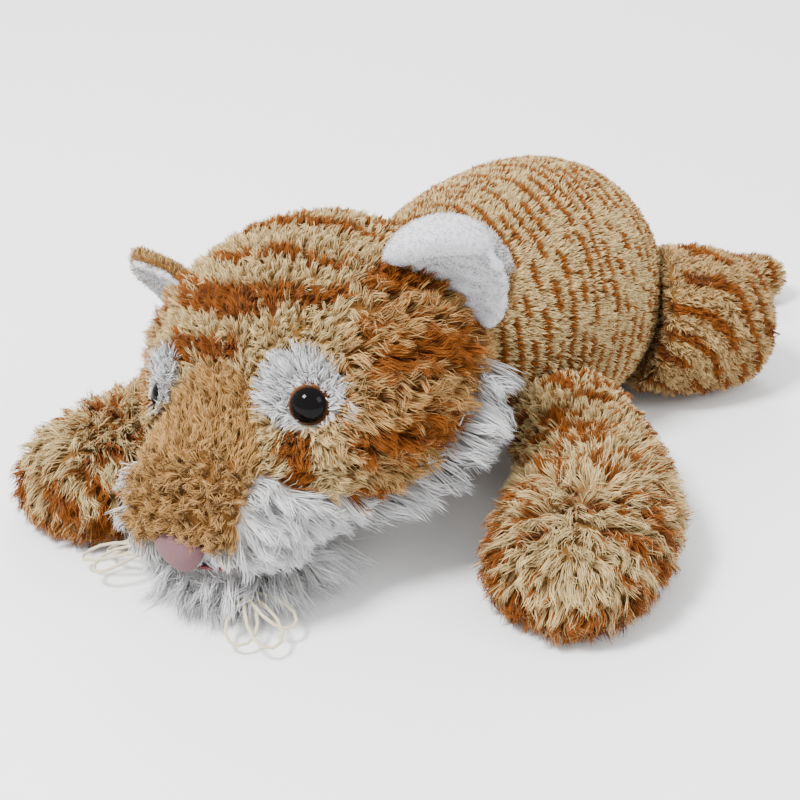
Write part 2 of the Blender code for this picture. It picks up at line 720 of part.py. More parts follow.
chin_room = frozen(soft_form("chin_clearance", chin_room_rings, LIMB_SIDES, parent=chin_place))
cut(chin, head_seam_room, nose_room, mouth_room, floor)

# Cheek ruffs: long white pile along the jaw and up the back of each cheek


def ruff_tube(name, side, grow=0.0, finish=None):
    """A ruff's tapered roll along the head's surface, grown or not."""
    points = []
    thicknesses = []
    for along_share, around, thickness in ruff_shares:
        out = Vector((side * cos(radians(around)), 0, sin(radians(around))))
        middle = Vector((0, HEAD_BEHIND_NECK - HEAD_LENGTH * along_share, HEAD_RISE))
        points.append(on_head(middle, out) + out * RUFF_RADIUS * thickness / 4)
        thicknesses.append(thickness + grow / RUFF_RADIUS)
    points[0] += (points[0] - points[1]).normalized() * grow
    points[-1] += (points[-1] - points[-2]).normalized() * grow
    return tube(name, points, RUFF_RADIUS, thicknesses, finish, head_nod)


for name, side in (("left", 1), ("right", -1)):
    ruff = ruff_tube(f"{name}_cheek_ruff", side, finish=WHITE_PLUSH)
    cut(ruff, head_seam_room, chin_room)

# Whiskers: three yarn loops in each bunch, knotted at the side of the chin
for name, side in (("left", 1), ("right", -1)):
    splay = radians(side * WHISKER_SPLAY_DEGREES)
    out = Vector((sin(splay), -cos(splay), 0))
    knot_target = Vector((0, -CHIN_LENGTH + WHISKER_BACK, WHISKER_HEIGHT + FLOOR_CUT))
    found, knot_place, _, _ = chin_form.ray_cast(knot_target + out * CHIN_LENGTH, -out)
    knot_place = knot_place + out * (WHISKER_KNOT_RADIUS + SEAM_GAP)
    knot = ball(f"{name}_whiskers", WHISKER_KNOT_RADIUS, WHISKER_YARN, chin_place, segments=10, rings=6)
    knot.data.transform(Matrix.Translation(knot_place))
    for count, (turn, reach_share) in enumerate(whisker_shares):
        away = Matrix.Rotation(radians(turn), 3, "Z") @ out
        across = Vector((-away.y, away.x, 0))
        length = WHISKER_LENGTH * reach_share
        loop_points = []
        for step in range(11):
            around = pi * step / 10
            reach = away * length * sin(around)
            swing = WHISKER_LOOP_WIDTH / 2 * sin(2 * around) + WHISKER_PITCH * cos(around)
            sag = WHISKER_PITCH * (count - 1) - WHISKER_SAG * sin(around) ** 2
            loop_points.append(knot_place + reach + across * swing + Vector((0, 0, sag)))
        loop = tube(f"{name}_whisker_loop_{count}", loop_points, WHISKER_RADIUS, parent=chin_place)
        join = knot.modifiers.new(loop.name, "BOOLEAN")
        join.operation = "UNION"
        join.solver = "EXACT"
        join.object = loop

# Ears: a plush back and a velour lining, cupped and curled forward, that fold at the root


def ear_sheet(name, finish, parent, lining):
    """One layer of an ear, a cupped sheet with its wall before the seam or behind it."""
    bm = bmesh.new()
    bmesh.ops.create_grid(bm, x_segments=4, y_segments=4, size=1)
    for point in bm.verts:
        across, up = point.co.x, (point.co.y + 1) / 2
        half_width = EAR_WIDTH / 2 * (1 - (1 - EAR_TIP_WIDTH_SHARE) * up**3)
        forward = EAR_CUP * across**2 * (1 - up / 2) + EAR_CURL * up**3
        rise = (EAR_HEIGHT + EAR_SINK) * up * (1 - EAR_RIM_DROP_SHARE * across**2)
        point.co = (across * half_width, -forward, rise - EAR_SINK - EAR_CURL * up**3 / 3)
    made = add_object(name, sheet_of(bm, name), finish, parent)
    subdivide(made)
    shift = made.modifiers.new("seam", "DISPLACE")
    shift.strength = SEAM_GAP / 2 * (1 if lining else -1)
    shift.mid_level = 0
    wall = made.modifiers.new("wall", "SOLIDIFY")
    wall.thickness = EAR_WALL
    wall.offset = 1 if lining else -1
    wall.use_even_offset = True
    return made


for name, side, along_share in (("left", 1, LEFT_EAR_ALONG_SHARE), ("right", -1, RIGHT_EAR_ALONG_SHARE)):
    around = radians(EAR_AROUND_DEGREES)
    out = Vector((side * cos(around), 0, sin(around)))
    middle = Vector((0, HEAD_BEHIND_NECK - HEAD_LENGTH * along_share, HEAD_RISE))
    ear_fold = empty(f"{name}_ear_fold", on_head(middle, out), parent=head_nod)
    lean = Matrix.Rotation(side * (pi / 2 - radians(EAR_LIFT_DEGREES)), 3, "Y")
    ear_fold.rotation_euler = (lean @ Matrix.Rotation(side * radians(EAR_TURN_DEGREES), 3, "Z")).to_euler()
    bpy.context.view_layer.update()
    lining = ear_sheet(f"{name}_ear_lining", VELOUR, ear_fold, True)
    back = ear_sheet(f"{name}_ear_back", STRIPED_PLUSH, ear_fold, False)
    for angle in EAR_FOLDS:
        room = frozen(head_form(f"{name}_ear_room_{angle}", BODY_SIDES, PIVOT_GAP))
        turn = Matrix.Rotation(radians(-angle), 4, "X")
        turn = ear_fold.matrix_world @ turn @ ear_fold.matrix_world.inverted()
        room.matrix_world = turn @ head_nod.matrix_world
        cut(lining, room)
        cut(back, room)

# Legs: each turns on an upright hinge where it is sewn to the trunk, and its root is hollowed
# for the trunk, for the neck and, where it passes under a cheek, for the head and its ruff


def trunk_room(name, moves):
    """The trunk's hollow in a limb that makes these moves."""
    return swept_room(name, frozen(trunk_form(f"{name}_source", BODY_SIDES, PIVOT_GAP)), moves)


def head_rooms(name, side, grow, moves):
    """The hollows for the head, and for the ruff on this side, in a front leg that makes these moves."""
    head_source = frozen(head_form(f"{name}_source", BODY_SIDES, grow))
    ruff_source = frozen(ruff_tube(f"{name}_ruff_source", side, grow))
    passing = [move @ turn_about(neck_place, turn) for move in moves for turn in HEAD_TURNS[:2]]
    both = [move @ head_move for move in moves for head_move in head_moves]
    head_room = swept_room(f"{name}_head_room", head_source, passing)
    return [head_room, swept_room(f"{name}_ruff_room", ruff_source, both)]


def leg(name, place, mirror, shares, length, width, height, headings, swings, front):
    """A leg: a cover open where it meets the trunk, and the pellets that fill it."""
    pivot = (*place, 0)
    moves = [turn_about(pivot, -swing) for swing in swings]
    hinge = empty(f"{name}_hinge", pivot)
    headings = [mirror * angle for angle in headings]
    sizes = (length, width, height, LEG_SINK, headings)
    rings = limb_rings(shares, *sizes)
    cover = soft_form(f"{name}_cover", rings, LIMB_SIDES, STRIPED_PLUSH, hinge)
    hinge.location.z = -lowest_point(cover) - FLOOR_CUT
    inside_rings = limb_rings(shares, *sizes, -COVER_WALL)
    cavity = soft_form(f"{name}_inside", inside_rings, FILLING_SIDES, parent=hinge)
    filling_rings = limb_rings(shares, *sizes, -COVER_WALL - SEAM_GAP)
    filling = soft_form(f"{name}_pellets", filling_rings, FILLING_SIDES, PELLETS, hinge)
    rooms = [trunk_room(f"{name}_trunk_room", moves)]
    if front:
        side = 1 if place[0] > 0 else -1
        cut(cavity, *head_rooms(f"{name}_cavity", side, PIVOT_GAP + COVER_WALL, moves))
        cut(filling, *head_rooms(f"{name}_filling", side, PIVOT_GAP + COVER_WALL + SEAM_GAP, moves))
        cut(cover, *head_rooms(f"{name}_cover", side, PIVOT_GAP, moves))
        rooms.append(swept_room(f"{name}_neck_room", neck_ball_room, moves))
    cut(cover, cavity, *rooms, floor)
    cut(filling, *rooms)


neck_ball_room = frozen(neck_room)
front_sizes = (front_leg_ring_shares, FRONT_LEG_LENGTH, FRONT_LEG_WIDTH, FRONT_LEG_HEIGHT)
hind_sizes = (hind_leg_ring_shares, HIND_LEG_LENGTH, HIND_LEG_WIDTH, HIND_LEG_HEIGHT)
leg("left_front_leg", LEFT_SHOULDER, 1, *front_sizes, LEFT_FRONT_HEADINGS, LEFT_FRONT_SWINGS, True)
leg("right_front_leg", RIGHT_SHOULDER, 1, *front_sizes, RIGHT_FRONT_HEADINGS, RIGHT_FRONT_SWINGS, True)
leg("left_hind_leg", LEFT_HIP, 1, *hind_sizes, HIND_HEADINGS, LEFT_HIND_SWINGS, False)
leg("right_hind_leg", RIGHT_HIP, -1, *hind_sizes, HIND_HEADINGS, RIGHT_HIND_SWINGS, False)

# Tail: it leaves the rump low down and curls along the floor
tail_place = (0, TRUNK_LENGTH / 2 - TAIL_FROM_RUMP, 0)
tail_root = empty("tail_root", tail_place)
tail_sizes = (tail_ring_shares, TAIL_LENGTH, TAIL_WIDTH, TAIL_HEIGHT, TAIL_SINK, TAIL_HEADINGS)
tail_cover = soft_form("tail_cover", limb_rings(*tail_sizes), LIMB_SIDES, STRIPED_PLUSH, tail_root)
tail_root.location.z = -lowest_point(tail_cover) - FLOOR_CUT
tail_inside = soft_form("tail_inside", limb_rings(*tail_sizes, -COVER_WALL), FILLING_SIDES, parent=tail_root)
tail_rings = limb_rings(*tail_sizes, -COVER_WALL - SEAM_GAP)
tail_stuffing = soft_form("tail_stuffing", tail_rings, FILLING_SIDES, FILLING, tail_root)
tail_moves = [turn_about(tail_place, -swing) for swing in TAIL_SWINGS]
tail_trunk_room = trunk_room("tail_trunk_room", tail_moves)
cut(tail_cover, tail_inside, tail_trunk_room, floor)
cut(tail_stuffing, tail_trunk_room)
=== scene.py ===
"""A floppy plush tiger lying on its belly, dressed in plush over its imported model."""
import json
import math

import bmesh
import bpy
import numpy as np
from mathutils import Matrix, Vector, kdtree


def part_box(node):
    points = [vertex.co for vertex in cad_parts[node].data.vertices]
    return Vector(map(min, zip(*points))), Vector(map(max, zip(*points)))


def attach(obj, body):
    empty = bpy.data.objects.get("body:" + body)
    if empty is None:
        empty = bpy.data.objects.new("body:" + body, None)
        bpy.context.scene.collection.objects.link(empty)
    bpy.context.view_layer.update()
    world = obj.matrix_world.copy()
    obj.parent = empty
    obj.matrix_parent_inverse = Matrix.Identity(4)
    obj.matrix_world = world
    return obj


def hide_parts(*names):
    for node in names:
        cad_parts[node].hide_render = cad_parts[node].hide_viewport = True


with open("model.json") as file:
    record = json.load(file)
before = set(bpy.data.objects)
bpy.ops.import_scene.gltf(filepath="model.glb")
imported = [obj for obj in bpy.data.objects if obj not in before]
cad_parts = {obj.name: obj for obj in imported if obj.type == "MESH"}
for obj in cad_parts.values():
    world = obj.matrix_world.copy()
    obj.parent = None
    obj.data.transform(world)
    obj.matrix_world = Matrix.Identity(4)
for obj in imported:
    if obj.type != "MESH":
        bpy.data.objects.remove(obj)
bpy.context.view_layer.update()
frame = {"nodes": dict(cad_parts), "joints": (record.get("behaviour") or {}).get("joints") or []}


# Camera. The photograph was taken from above the tiger's left front, close enough
# for some perspective, so the camera has that bearing, height and distance.
AIM = Vector((0.0105, -0.0995, 0.05))
BEARING = math.radians(39)
ELEVATION = math.radians(27)
CAMERA_DISTANCE = 0.95
LENS = 85.5

camera_data = bpy.data.cameras.new("camera")
camera_data.lens = LENS
camera = bpy.data.objects.new("camera", camera_data)
level = math.cos(ELEVATION)
away = Vector((math.sin(BEARING) * level, -math.cos(BEARING) * level, math.sin(ELEVATION)))
camera.location = AIM + away * CAMERA_DISTANCE
camera.rotation_euler = (math.pi / 2 - ELEVATION, 0, BEARING)
bpy.context.scene.collection.objects.link(camera)
bpy.context.scene.camera = camera


# Floor and lights. A plain pale floor under soft studio light: one broad lamp
# over the camera's left shoulder, weaker ones at its right and behind, and a pale room.
FLOOR_SIDE = 60.0
FLOOR_COLOUR = (0.9, 0.9, 0.9, 1)
ROOM_COLOUR = (1.0, 1.0, 1.0, 1)
ROOM_STRENGTH = 1.55
LAMPS = {
    "key_lamp": ((-0.25, -1.15, 1.75), 0.5, 92.0),
    "side_lamp": ((1.6, 0.3, 1.2), 0.8, 12.0),
    "rear_lamp": ((-1.3, 1.3, 1.5), 0.9, 26.0),
}


MIX_SHARE, MIX_LOW, MIX_HIGH = 0, 6, 7
MIX_COLOUR = 2


class Wire:
    """A shader socket that takes Python's arithmetic, and makes the nodes for it."""

    def __init__(self, tree, socket):
        self.tree = tree
        self.socket = socket

    def node(self, kind, links, output=0, **settings):
        """The wire out of a new node, after its settings and then its sockets are set."""
        made = self.tree.nodes.new(kind)
        for name, value in settings.items():
            setattr(made, name, value)
        for key, value in links.items():
            if isinstance(value, Wire):
                self.tree.links.new(value.socket, made.inputs[key])
            else:
                made.inputs[key].default_value = value
        return Wire(self.tree, made.outputs[output])

    def maths(self, operation, *values):
        return self.node("ShaderNodeMath", dict(enumerate(values)), operation=operation)

    def __add__(self, other):
        return self.maths("ADD", self, other)

    __radd__ = __add__

    def __mul__(self, other):
        return self.maths("MULTIPLY", self, other)

    __rmul__ = __mul__

    def __sub__(self, other):
        return self.maths("SUBTRACT", self, other)

    def __rsub__(self, other):
        return self.maths("SUBTRACT", other, self)

    def between(self, low, high):
        """0 up to low, 1 from high, and a smooth rise between them."""
        links = {"Value": self, "From Min": low, "From Max": high}
        return self.node("ShaderNodeMapRange", links, interpolation_type="SMOOTHSTEP")

    def choose(self, low, high):
        """The colour low where this is 0, and the colour high where it is 1."""
        links = {MIX_SHARE: self, MIX_LOW: low, MIX_HIGH: high}
        return self.node("ShaderNodeMix", links, output=MIX_COLOUR, data_type="RGBA")


def new_material(name, roughness, **constants):
    """A material, a wire that starts its expressions, and the shader they feed."""
    material = bpy.data.materials.new(name)
    material.use_nodes = True
    tree = material.node_tree
    shader = tree.nodes["Principled BSDF"]
    shader.inputs["Roughness"].default_value = roughness
    for socket, value in constants.items():
        shader.inputs[socket.replace("_", " ")].default_value = value
    return material, Wire(tree, None), shader


def feed(wire, shader, socket):
    """Links a wire to a socket of the shader."""
    wire.tree.links.new(wire.socket, shader.inputs[socket])


def new_piece(name, mesh, material=None):
    """An object in the scene with this mesh and finish."""
    piece = bpy.data.objects.new(name, mesh)
    bpy.context.scene.collection.objects.link(piece)
    if material:
        mesh.materials.clear()
        mesh.materials.append(material)
    return piece


floor_finish, _, shader = new_material("pale_floor", roughness=0.8)
shader.inputs["Base Color"].default_value = FLOOR_COLOUR
bm = bmesh.new()
bmesh.ops.create_grid(bm, x_segments=1, y_segments=1, size=FLOOR_SIDE / 2)
floor_mesh = bpy.data.meshes.new("floor")
bm.to_mesh(floor_mesh)
bm.free()
new_piece("floor", floor_mesh, floor_finish)

room = bpy.data.worlds.new("room")
room.use_nodes = True
room.node_tree.nodes["Background"].inputs["Color"].default_value = ROOM_COLOUR
room.node_tree.nodes["Background"].inputs["Strength"].default_value = ROOM_STRENGTH
bpy.context.scene.world = room

for name, (place, size, power) in LAMPS.items():
    lamp_data = bpy.data.lights.new(name, "AREA")
    lamp_data.size = size
    lamp_data.energy = power
    lamp = bpy.data.objects.new(name, lamp_data)
    lamp.location = place
    lamp.rotation_euler = (AIM - Vector(place)).to_track_quat("-Z", "Y").to_euler()
    bpy.context.scene.collection.objects.link(lamp)


# Trunk. A stuffed tube of short plush, with a plain panel sewn in under the belly.
# The pile is brushed back from the neck, and thin broken stripes run round it. Each
# colour of wool has its colour at the tip and a darker one at the root, which is painted shade.
CREAM = ((0.17, 0.080, 0.019, 1), (0.65, 0.490, 0.235, 1))
GOLD = ((0.15, 0.062, 0.013, 1), (0.52, 0.300, 0.105, 1))
WHITE = ((0.38, 0.37, 0.36, 1), (0.64, 0.64, 0.65, 1))
RUST = ((0.075, 0.018, 0.003, 1), (0.25, 0.074, 0.011, 1))
PLUSH_SHEEN = 0.06
PLUSH_GLOSS = 0.06
FLECK_SCALE = 900.0
# The tip colour's share rises along each strand, so the root is darkened as painted shade deep in the
# pile; tone and fleck vary it at random.
TIP_LIGHT = 0.95
TONE_LIGHT = 0.22
FLECK_LIGHT = 0.08
ROOT_DARK = 0.12
LOCK_SHADE = 0.34
TONE_SHADE = 0.10
DEEPEST_SHADE = 0.72


def plush_finish(name, roughness=0.9):
    """The pile's colour: cream, gold or white wool with rust stripes, and painted shade that darkens it
    towards the root.
    """
    material, wire, shader = new_material(name, roughness, Sheen_Weight=PLUSH_SHEEN, Sheen_Roughness=0.5)
    shader.inputs["Specular IOR Level"].default_value = PLUSH_GLOSS
    masks = {}
    for mask in ("stripe", "white", "gold", "tone", "along", "lock"):
        masks[mask] = wire.node("ShaderNodeAttribute", {}, output=2, attribute_name=mask)
    place = wire.node("ShaderNodeTexCoord", {}, output=3)
    fleck = wire.node("ShaderNodeTexNoise", {"Vector": place, "Scale": FLECK_SCALE, "Detail": 2.0})
    ends = []
    for end in (0, 1):
        ground = masks["gold"].choose(CREAM[end], GOLD[end])
        ground = masks["white"].choose(ground, WHITE[end])
        ends.append(masks["stripe"].choose(ground, RUST[end]))
    # Painted shade: each strand goes from its dark root colour to its tip colour along its length.
    root_shade_and_tone = masks["along"] * TIP_LIGHT + masks["tone"] * TONE_LIGHT + fleck * FLECK_LIGHT - ROOT_DARK
    dyed_and_shaded = root_shade_and_tone.choose(*ends)
    shade = masks["lock"] * LOCK_SHADE + masks["tone"] * TONE_SHADE + DEEPEST_SHADE
    grey = wire.node("ShaderNodeCombineColor", {0: shade, 1: shade, 2: shade})
    links = {MIX_SHARE: 1.0, MIX_LOW: dyed_and_shaded, MIX_HIGH: grey}
    colour = wire.node("ShaderNodeMix", links, output=MIX_COLOUR, data_type="RGBA", blend_type="MULTIPLY")
    feed(colour, shader, "Base Color")
    return material


striped_plush = plush_finish("striped_plush")


def points_of(mesh):
    """The points, normals and triangles of a mesh."""
    mesh.calc_loop_triangles()
    points = np.empty(len(mesh.vertices) * 3)
    mesh.vertices.foreach_get("co", points)
    normals = np.empty(len(mesh.vertices) * 3)
    mesh.vertices.foreach_get("normal", normals)
    triangles = np.empty(len(mesh.loop_triangles) * 3, np.int32)
    mesh.loop_triangles.foreach_get("vertices", triangles)
    return points.reshape(-1, 3), normals.reshape(-1, 3), triangles.reshape(-1, 3)


def unit(vectors):
    """The same ways, each one long."""
    return vectors / np.maximum(np.linalg.norm(vectors, axis=1, keepdims=True), 1e-9)


RIPPLE_WAVES = 7
RIPPLE_PITCHES = (0.6, 1.4)
RIPPLE_HEIGHT = 2.2


def ripple(points, size, seed):
    """A smooth uneven field, mostly within -1 to 1, whose lumps are about this size."""
    draw = np.random.default_rng(seed)
    ways = unit(draw.normal(size=(RIPPLE_WAVES, 3)))
    ways = ways * draw.uniform(*RIPPLE_PITCHES, (RIPPLE_WAVES, 1)) * math.tau / size
    waves = np.sin(points @ ways.T + draw.uniform(0, math.tau, RIPPLE_WAVES))
    return waves.sum(axis=1) / RIPPLE_HEIGHT


def rise(values, low, high):
    """0 up to low, 1 from high, and a smooth rise between them."""
    share = np.clip((values - low) / (high - low), 0, 1)
    return share * share * (3 - 2 * share)


WELD_GAP = 0.00002


def joined(name, nodes):
    """A new piece with the meshes of these CAD nodes."""
    bm = bmesh.new()
    for node in nodes:
        bm.from_mesh(frame["nodes"][node].data)
    bmesh.ops.remove_doubles(bm, verts=bm.verts, dist=WELD_GAP)
    mesh = bpy.data.meshes.new(name)
    bm.to_mesh(mesh)
    bm.free()
    return new_piece(name, mesh)


def applied(piece):
    """The mesh of a piece with its modifiers, which are then cleared."""
    graph = bpy.context.evaluated_depsgraph_get()
    whole = bpy.data.meshes.new_from_object(piece.evaluated_get(graph))
    piece.modifiers.clear()
    return whole


def keep_largest(bm):
    """Leaves only the island with the most points, which is the outer one."""
    bm.verts.ensure_lookup_table()
    island = [0] * len(bm.verts)
    sizes = {}
    for seed in bm.verts:
        if island[seed.index]:
            continue
        mark = len(sizes) + 1
        island[seed.index] = mark
        stack = [seed]
        count = 0
        while stack:
            vert = stack.pop()
            count += 1
            for edge in vert.link_edges:
                other = edge.other_vert(vert)
                if not island[other.index]:
                    island[other.index] = mark
                    stack.append(other)
        sizes[mark] = count
    largest = max(sizes, key=sizes.get)
    lost = [vert for vert in bm.verts if island[vert.index] != largest]
    bmesh.ops.delete(bm, geom=lost, context="VERTS")


SKIN_INSET = 0.0012
SKIN_SOFTENING = 0.5
FLOOR_MARGIN = 0.0006


def skin(name, nodes, voxel=0.003, rounds=6):
    """One smooth closed body over these CAD nodes, drawn in a little to leave room for pile."""
    piece = joined(name, nodes)
    remesh = piece.modifiers.new("remesh", "REMESH")
    remesh.mode = "VOXEL"
    remesh.voxel_size = voxel
    smooth = piece.modifiers.new("smooth", "SMOOTH")
    smooth.factor = SKIN_SOFTENING
    smooth.iterations = rounds
    draw_in = piece.modifiers.new("draw_in", "DISPLACE")
    draw_in.strength = -SKIN_INSET
    draw_in.mid_level = 0.0
    whole = applied(piece)
    bm = bmesh.new()
    bm.from_mesh(whole)
    keep_largest(bm)
    for vert in bm.verts:
        vert.co.z = max(vert.co.z, FLOOR_MARGIN)
    bmesh.ops.recalc_face_normals(bm, faces=bm.faces)
    bm.to_mesh(whole)
    bm.free()
    whole.name = name
    piece.data = whole
    whole.shade_smooth()
    return piece


def dye_and_shade(mesh, **masks):
    """Writes each mask as a number on every point of the mesh, for its finish to read."""
    for name, values in masks.items():
        layer = mesh.attributes.new(name, "FLOAT", "POINT")
        layer.data.foreach_set("value", np.ascontiguousarray(values, np.float32))


ROOT_TRIES = 3


def roots_on(mesh, spacing, seed):
    """Points spread evenly but not in rows over a mesh, with the surface's normals there."""
    points, normals, triangles = points_of(mesh)
    corners = points[triangles]
    edges = corners[:, 1] - corners[:, 0], corners[:, 2] - corners[:, 0]
    areas = np.linalg.norm(np.cross(*edges), axis=1) / 2
    draw = np.random.default_rng(seed)
    count = int(areas.sum() / spacing ** 2 * ROOT_TRIES)
    chosen = draw.choice(len(triangles), count, p=areas / areas.sum())
    share = draw.random((count, 2))
    over = share.sum(axis=1) > 1
    share[over] = 1 - share[over]
    weights = np.column_stack([1 - share.sum(axis=1), share])[:, :, None]
    places = (corners[chosen] * weights).sum(axis=1)
    facing = unit((normals[triangles[chosen]] * weights).sum(axis=1))
    cells = np.floor(places / spacing).astype(np.int64)
    _, first = np.unique(cells, axis=0, return_index=True)
    return places[first], facing[first]


# A strand is a ribbon with two points at its root, two at its bend and one at its tip.
# It has a four-sided face below the bend and a three-sided one above it.
STRAND_POINTS = 5
STRAND_LOOPS = (0, 1, 3, 2, 2, 3, 4)
STRAND_FACES = (0, 4)
STRAND_CELL = ((0.1, 0.05), (0.9, 0.05), (0.9, 0.5), (0.1, 0.5), (0.1, 0.5), (0.9, 0.5), (0.5, 0.95))
STRAND_ALONG = (0, 0, 0.5, 0.5, 1)
STRAND_TWIST = 0.6
STRAND_LIFT = 0.14
BEND_WIDTH_SHARE = 0.85
OWN_CURL_SHARE = 0.5
LENGTH_SPREAD = (0.75, 1.15)
WIDTH_SPREAD = (0.7, 1.25)
GATHER_SPREAD = (0.7, 1.0)
DYE_SPREAD = (0.1, 0.9)


def fur(name, roots, normals, comb, length, material, seed, width=0.0006, lean=0.6,
        mess=0.25, per_lock=16, gather=0.8, curl=0.0, droop=0.0, root_shade_lift=0.0, **masks):
    """Pile as narrow pointed ribbons, each bent once, that lean with the comb and meet in locks."""
    draw = np.random.default_rng(seed)
    count = len(roots)
    comb = unit(comb - normals * (comb * normals).sum(axis=1, keepdims=True))
    way = unit(normals * (1 - lean) + comb * lean + draw.normal(size=(count, 3)) * mess)
    long = (length * draw.uniform(*LENGTH_SPREAD, count))[:, None]
    tips = roots + way * long
    locks = draw.choice(count, max(1, count // per_lock), replace=False)
    tree = kdtree.KDTree(len(locks))
    for i, lock in enumerate(locks):
        tree.insert(roots[lock], i)
    tree.balance()
    belongs = np.array([tree.find(root)[1] for root in roots])
    pull = gather * draw.uniform(*GATHER_SPREAD, (count, 1))
    tips += (tips[locks[belongs]] - tips) * pull
    tips[:, 2] -= droop * long[:, 0]
    swirl = draw.normal(size=(len(locks), 3))[belongs] + draw.normal(size=(count, 3)) * OWN_CURL_SHARE
    bends = roots + (tips - roots) / 2 + (normals * STRAND_LIFT + swirl * curl) * long
    way = unit(tips - roots)
    side = unit(np.cross(way, normals))
    twist = draw.normal(size=(count, 1)) * STRAND_TWIST
    side = side * np.cos(twist) + np.cross(way, side) * np.sin(twist)
    half = side * width / 2 * draw.uniform(*WIDTH_SPREAD, (count, 1))
    sunk = roots - normals * SKIN_INSET / 2
    narrower = half * BEND_WIDTH_SHARE
    points = np.stack([sunk - half, sunk + half, bends - narrower, bends + narrower, tips], axis=1)
    points[:, :, 2] = np.maximum(points[:, :, 2], FLOOR_MARGIN)
    mesh = bpy.data.meshes.new(name)
    mesh.vertices.add(count * STRAND_POINTS)
    mesh.vertices.foreach_set("co", points.astype(np.float32).ravel())
    loops = (np.arange(count)[:, None] * STRAND_POINTS + np.array(STRAND_LOOPS)).ravel()
    mesh.loops.add(len(loops))
    mesh.loops.foreach_set("vertex_index", loops.astype(np.int32))
    starts = (np.arange(count)[:, None] * len(STRAND_LOOPS) + np.array(STRAND_FACES)).ravel()
    mesh.polygons.add(len(starts))
    mesh.polygons.foreach_set("loop_start", starts.astype(np.int32))
    mesh.update(calc_edges=True)
    across = math.ceil(math.sqrt(count))
    corner = np.stack([np.arange(count) % across, np.arange(count) // across], axis=1)
    uv = (corner[:, None, :] + np.array(STRAND_CELL)[None]) / across
    mesh.uv_layers.new(name="OFBake").data.foreach_set("uv", uv.astype(np.float32).ravel())
    masks["stripe"] = (masks["stripe"] > draw.uniform(*DYE_SPREAD, count)) * 1.0
    along = np.tile(STRAND_ALONG, count)
    masks = {"tone": draw.random(count), "lock": draw.random(len(locks))[belongs], **masks}
    masks = {mask: np.repeat(values, STRAND_POINTS) for mask, values in masks.items()}
    # How much of the painted shade at the strands' roots is lifted.
    dye_and_shade(mesh, along=root_shade_lift + (1 - root_shade_lift) * along, **masks)
    mesh.shade_smooth()
    return new_piece(name, mesh, material)


STRIPE_PITCH = 0.0088
STRIPE_WAVER = 0.0016
STRIPE_LUMP = 0.045
STRIPE_EDGE = 0.45
DASH_LUMP = 0.020
DASH_GAPS = (-0.95, -0.65)


def stripes_round(points, ahead, seed, pitch=STRIPE_PITCH, broken=0.1, thin=0.08):
    """Thin wavering stripes across the direction ahead, broken into dashes."""
    wave = np.cos((ahead + STRIPE_WAVER * ripple(points, STRIPE_LUMP, seed)) * math.tau / pitch)
    gaps = rise(ripple(points, DASH_LUMP, seed + 1), DASH_GAPS[0] + broken, DASH_GAPS[1] + broken)
    return rise(wave, thin, thin + STRIPE_EDGE) * gaps


def plain(points, value=0.0):
    """The same value for every point."""
    return np.full(len(points), value)


SKIN_TONE = 0.25


def finish_skin(piece, body, slot, material, fill, nodes, **masks):
    """Gives a body the colour of its pile's roots, with their painted shade, and sets it in the place of
    its CAD nodes.
    """
    middling = plain(piece.data.vertices, SKIN_TONE)
    # The skin takes the root colour, darkest with painted shade, so that gaps in the pile look shaded.
    dye_and_shade(piece.data, along=plain(middling), tone=middling, lock=middling, **masks)
    piece.data.materials.clear()
    piece.data.materials.append(material)
    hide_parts(*nodes)
    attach(piece, body)


TRUNK_PILE = 0.0045
TRUNK_COMB = (0.0, 1.0, -0.25)
TRUNK_SWAY = np.array((0.25, 0, 0))
STRIPE_SWEEP = 0.14
STRIPE_LEAN = 0.10
BELLY_SEAM = (-0.030, -0.018)
BELLY_GOLD = 0.6
BARE_FACING = -0.75
BARE_HEIGHT = 0.004


def trunk_masks(points):
    """Stripes that sweep back down the sides, and a plain tan belly."""
    slant = points[:, 1] + STRIPE_SWEEP * np.abs(points[:, 0]) - STRIPE_LEAN * points[:, 2]
    stripe = stripes_round(points, slant, seed=11, broken=0.0, thin=-0.1)
    under = rise(-points[:, 2], *BELLY_SEAM)
    return {"stripe": stripe * (1 - under), "gold": under * BELLY_GOLD, "white": plain(points)}


trunk_nodes = ["back_cover", "belly_panel", "body_stuffing", "body_pellet_bag"]
trunk = skin("trunk_plush", trunk_nodes)
finish_skin(trunk, "trunk", "striped_plush", striped_plush, fill=0.6, nodes=trunk_nodes,
            **trunk_masks(points_of(trunk.data)[0]))

roots, normals = roots_on(trunk.data, spacing=0.0009, seed=21)
kept = (normals[:, 2] > BARE_FACING) & (roots[:, 2] > BARE_HEIGHT)
for side, half in (("left", roots[:, 0] > 0), ("right", roots[:, 0] <= 0)):
    here, facing = roots[kept & half], normals[kept & half]
    sway = ripple(here, size=0.05, seed=12)[:, None] * TRUNK_SWAY
    comb = np.tile(TRUNK_COMB, (len(here), 1)) + sway
    piece = fur(side + "_trunk_fur", here, facing, comb, plain(here, TRUNK_PILE), striped_plush, seed=22,
                width=0.0005, lean=0.62, mess=0.22, per_lock=6, gather=0.5, curl=0.08, root_shade_lift=0.3,
                **trunk_masks(here))
    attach(piece, "trunk")


# Neck. A soft gusset of the same striped plush that joins head to trunk, sewn on
# all round and nearly hidden behind the head.
NECK_PILE = 0.005
NECK_COMB = (0.0, 1.0, -0.3)
NECK_STRIPE = 0.8
NECK_GOLD = 0.3


def neck_masks(points):
    """Faint stripes across the neck."""
    stripe = stripes_round(points, points[:, 1], seed=31) * NECK_STRIPE
    return {"stripe": stripe, "gold": plain(points, NECK_GOLD), "white": plain(points)}


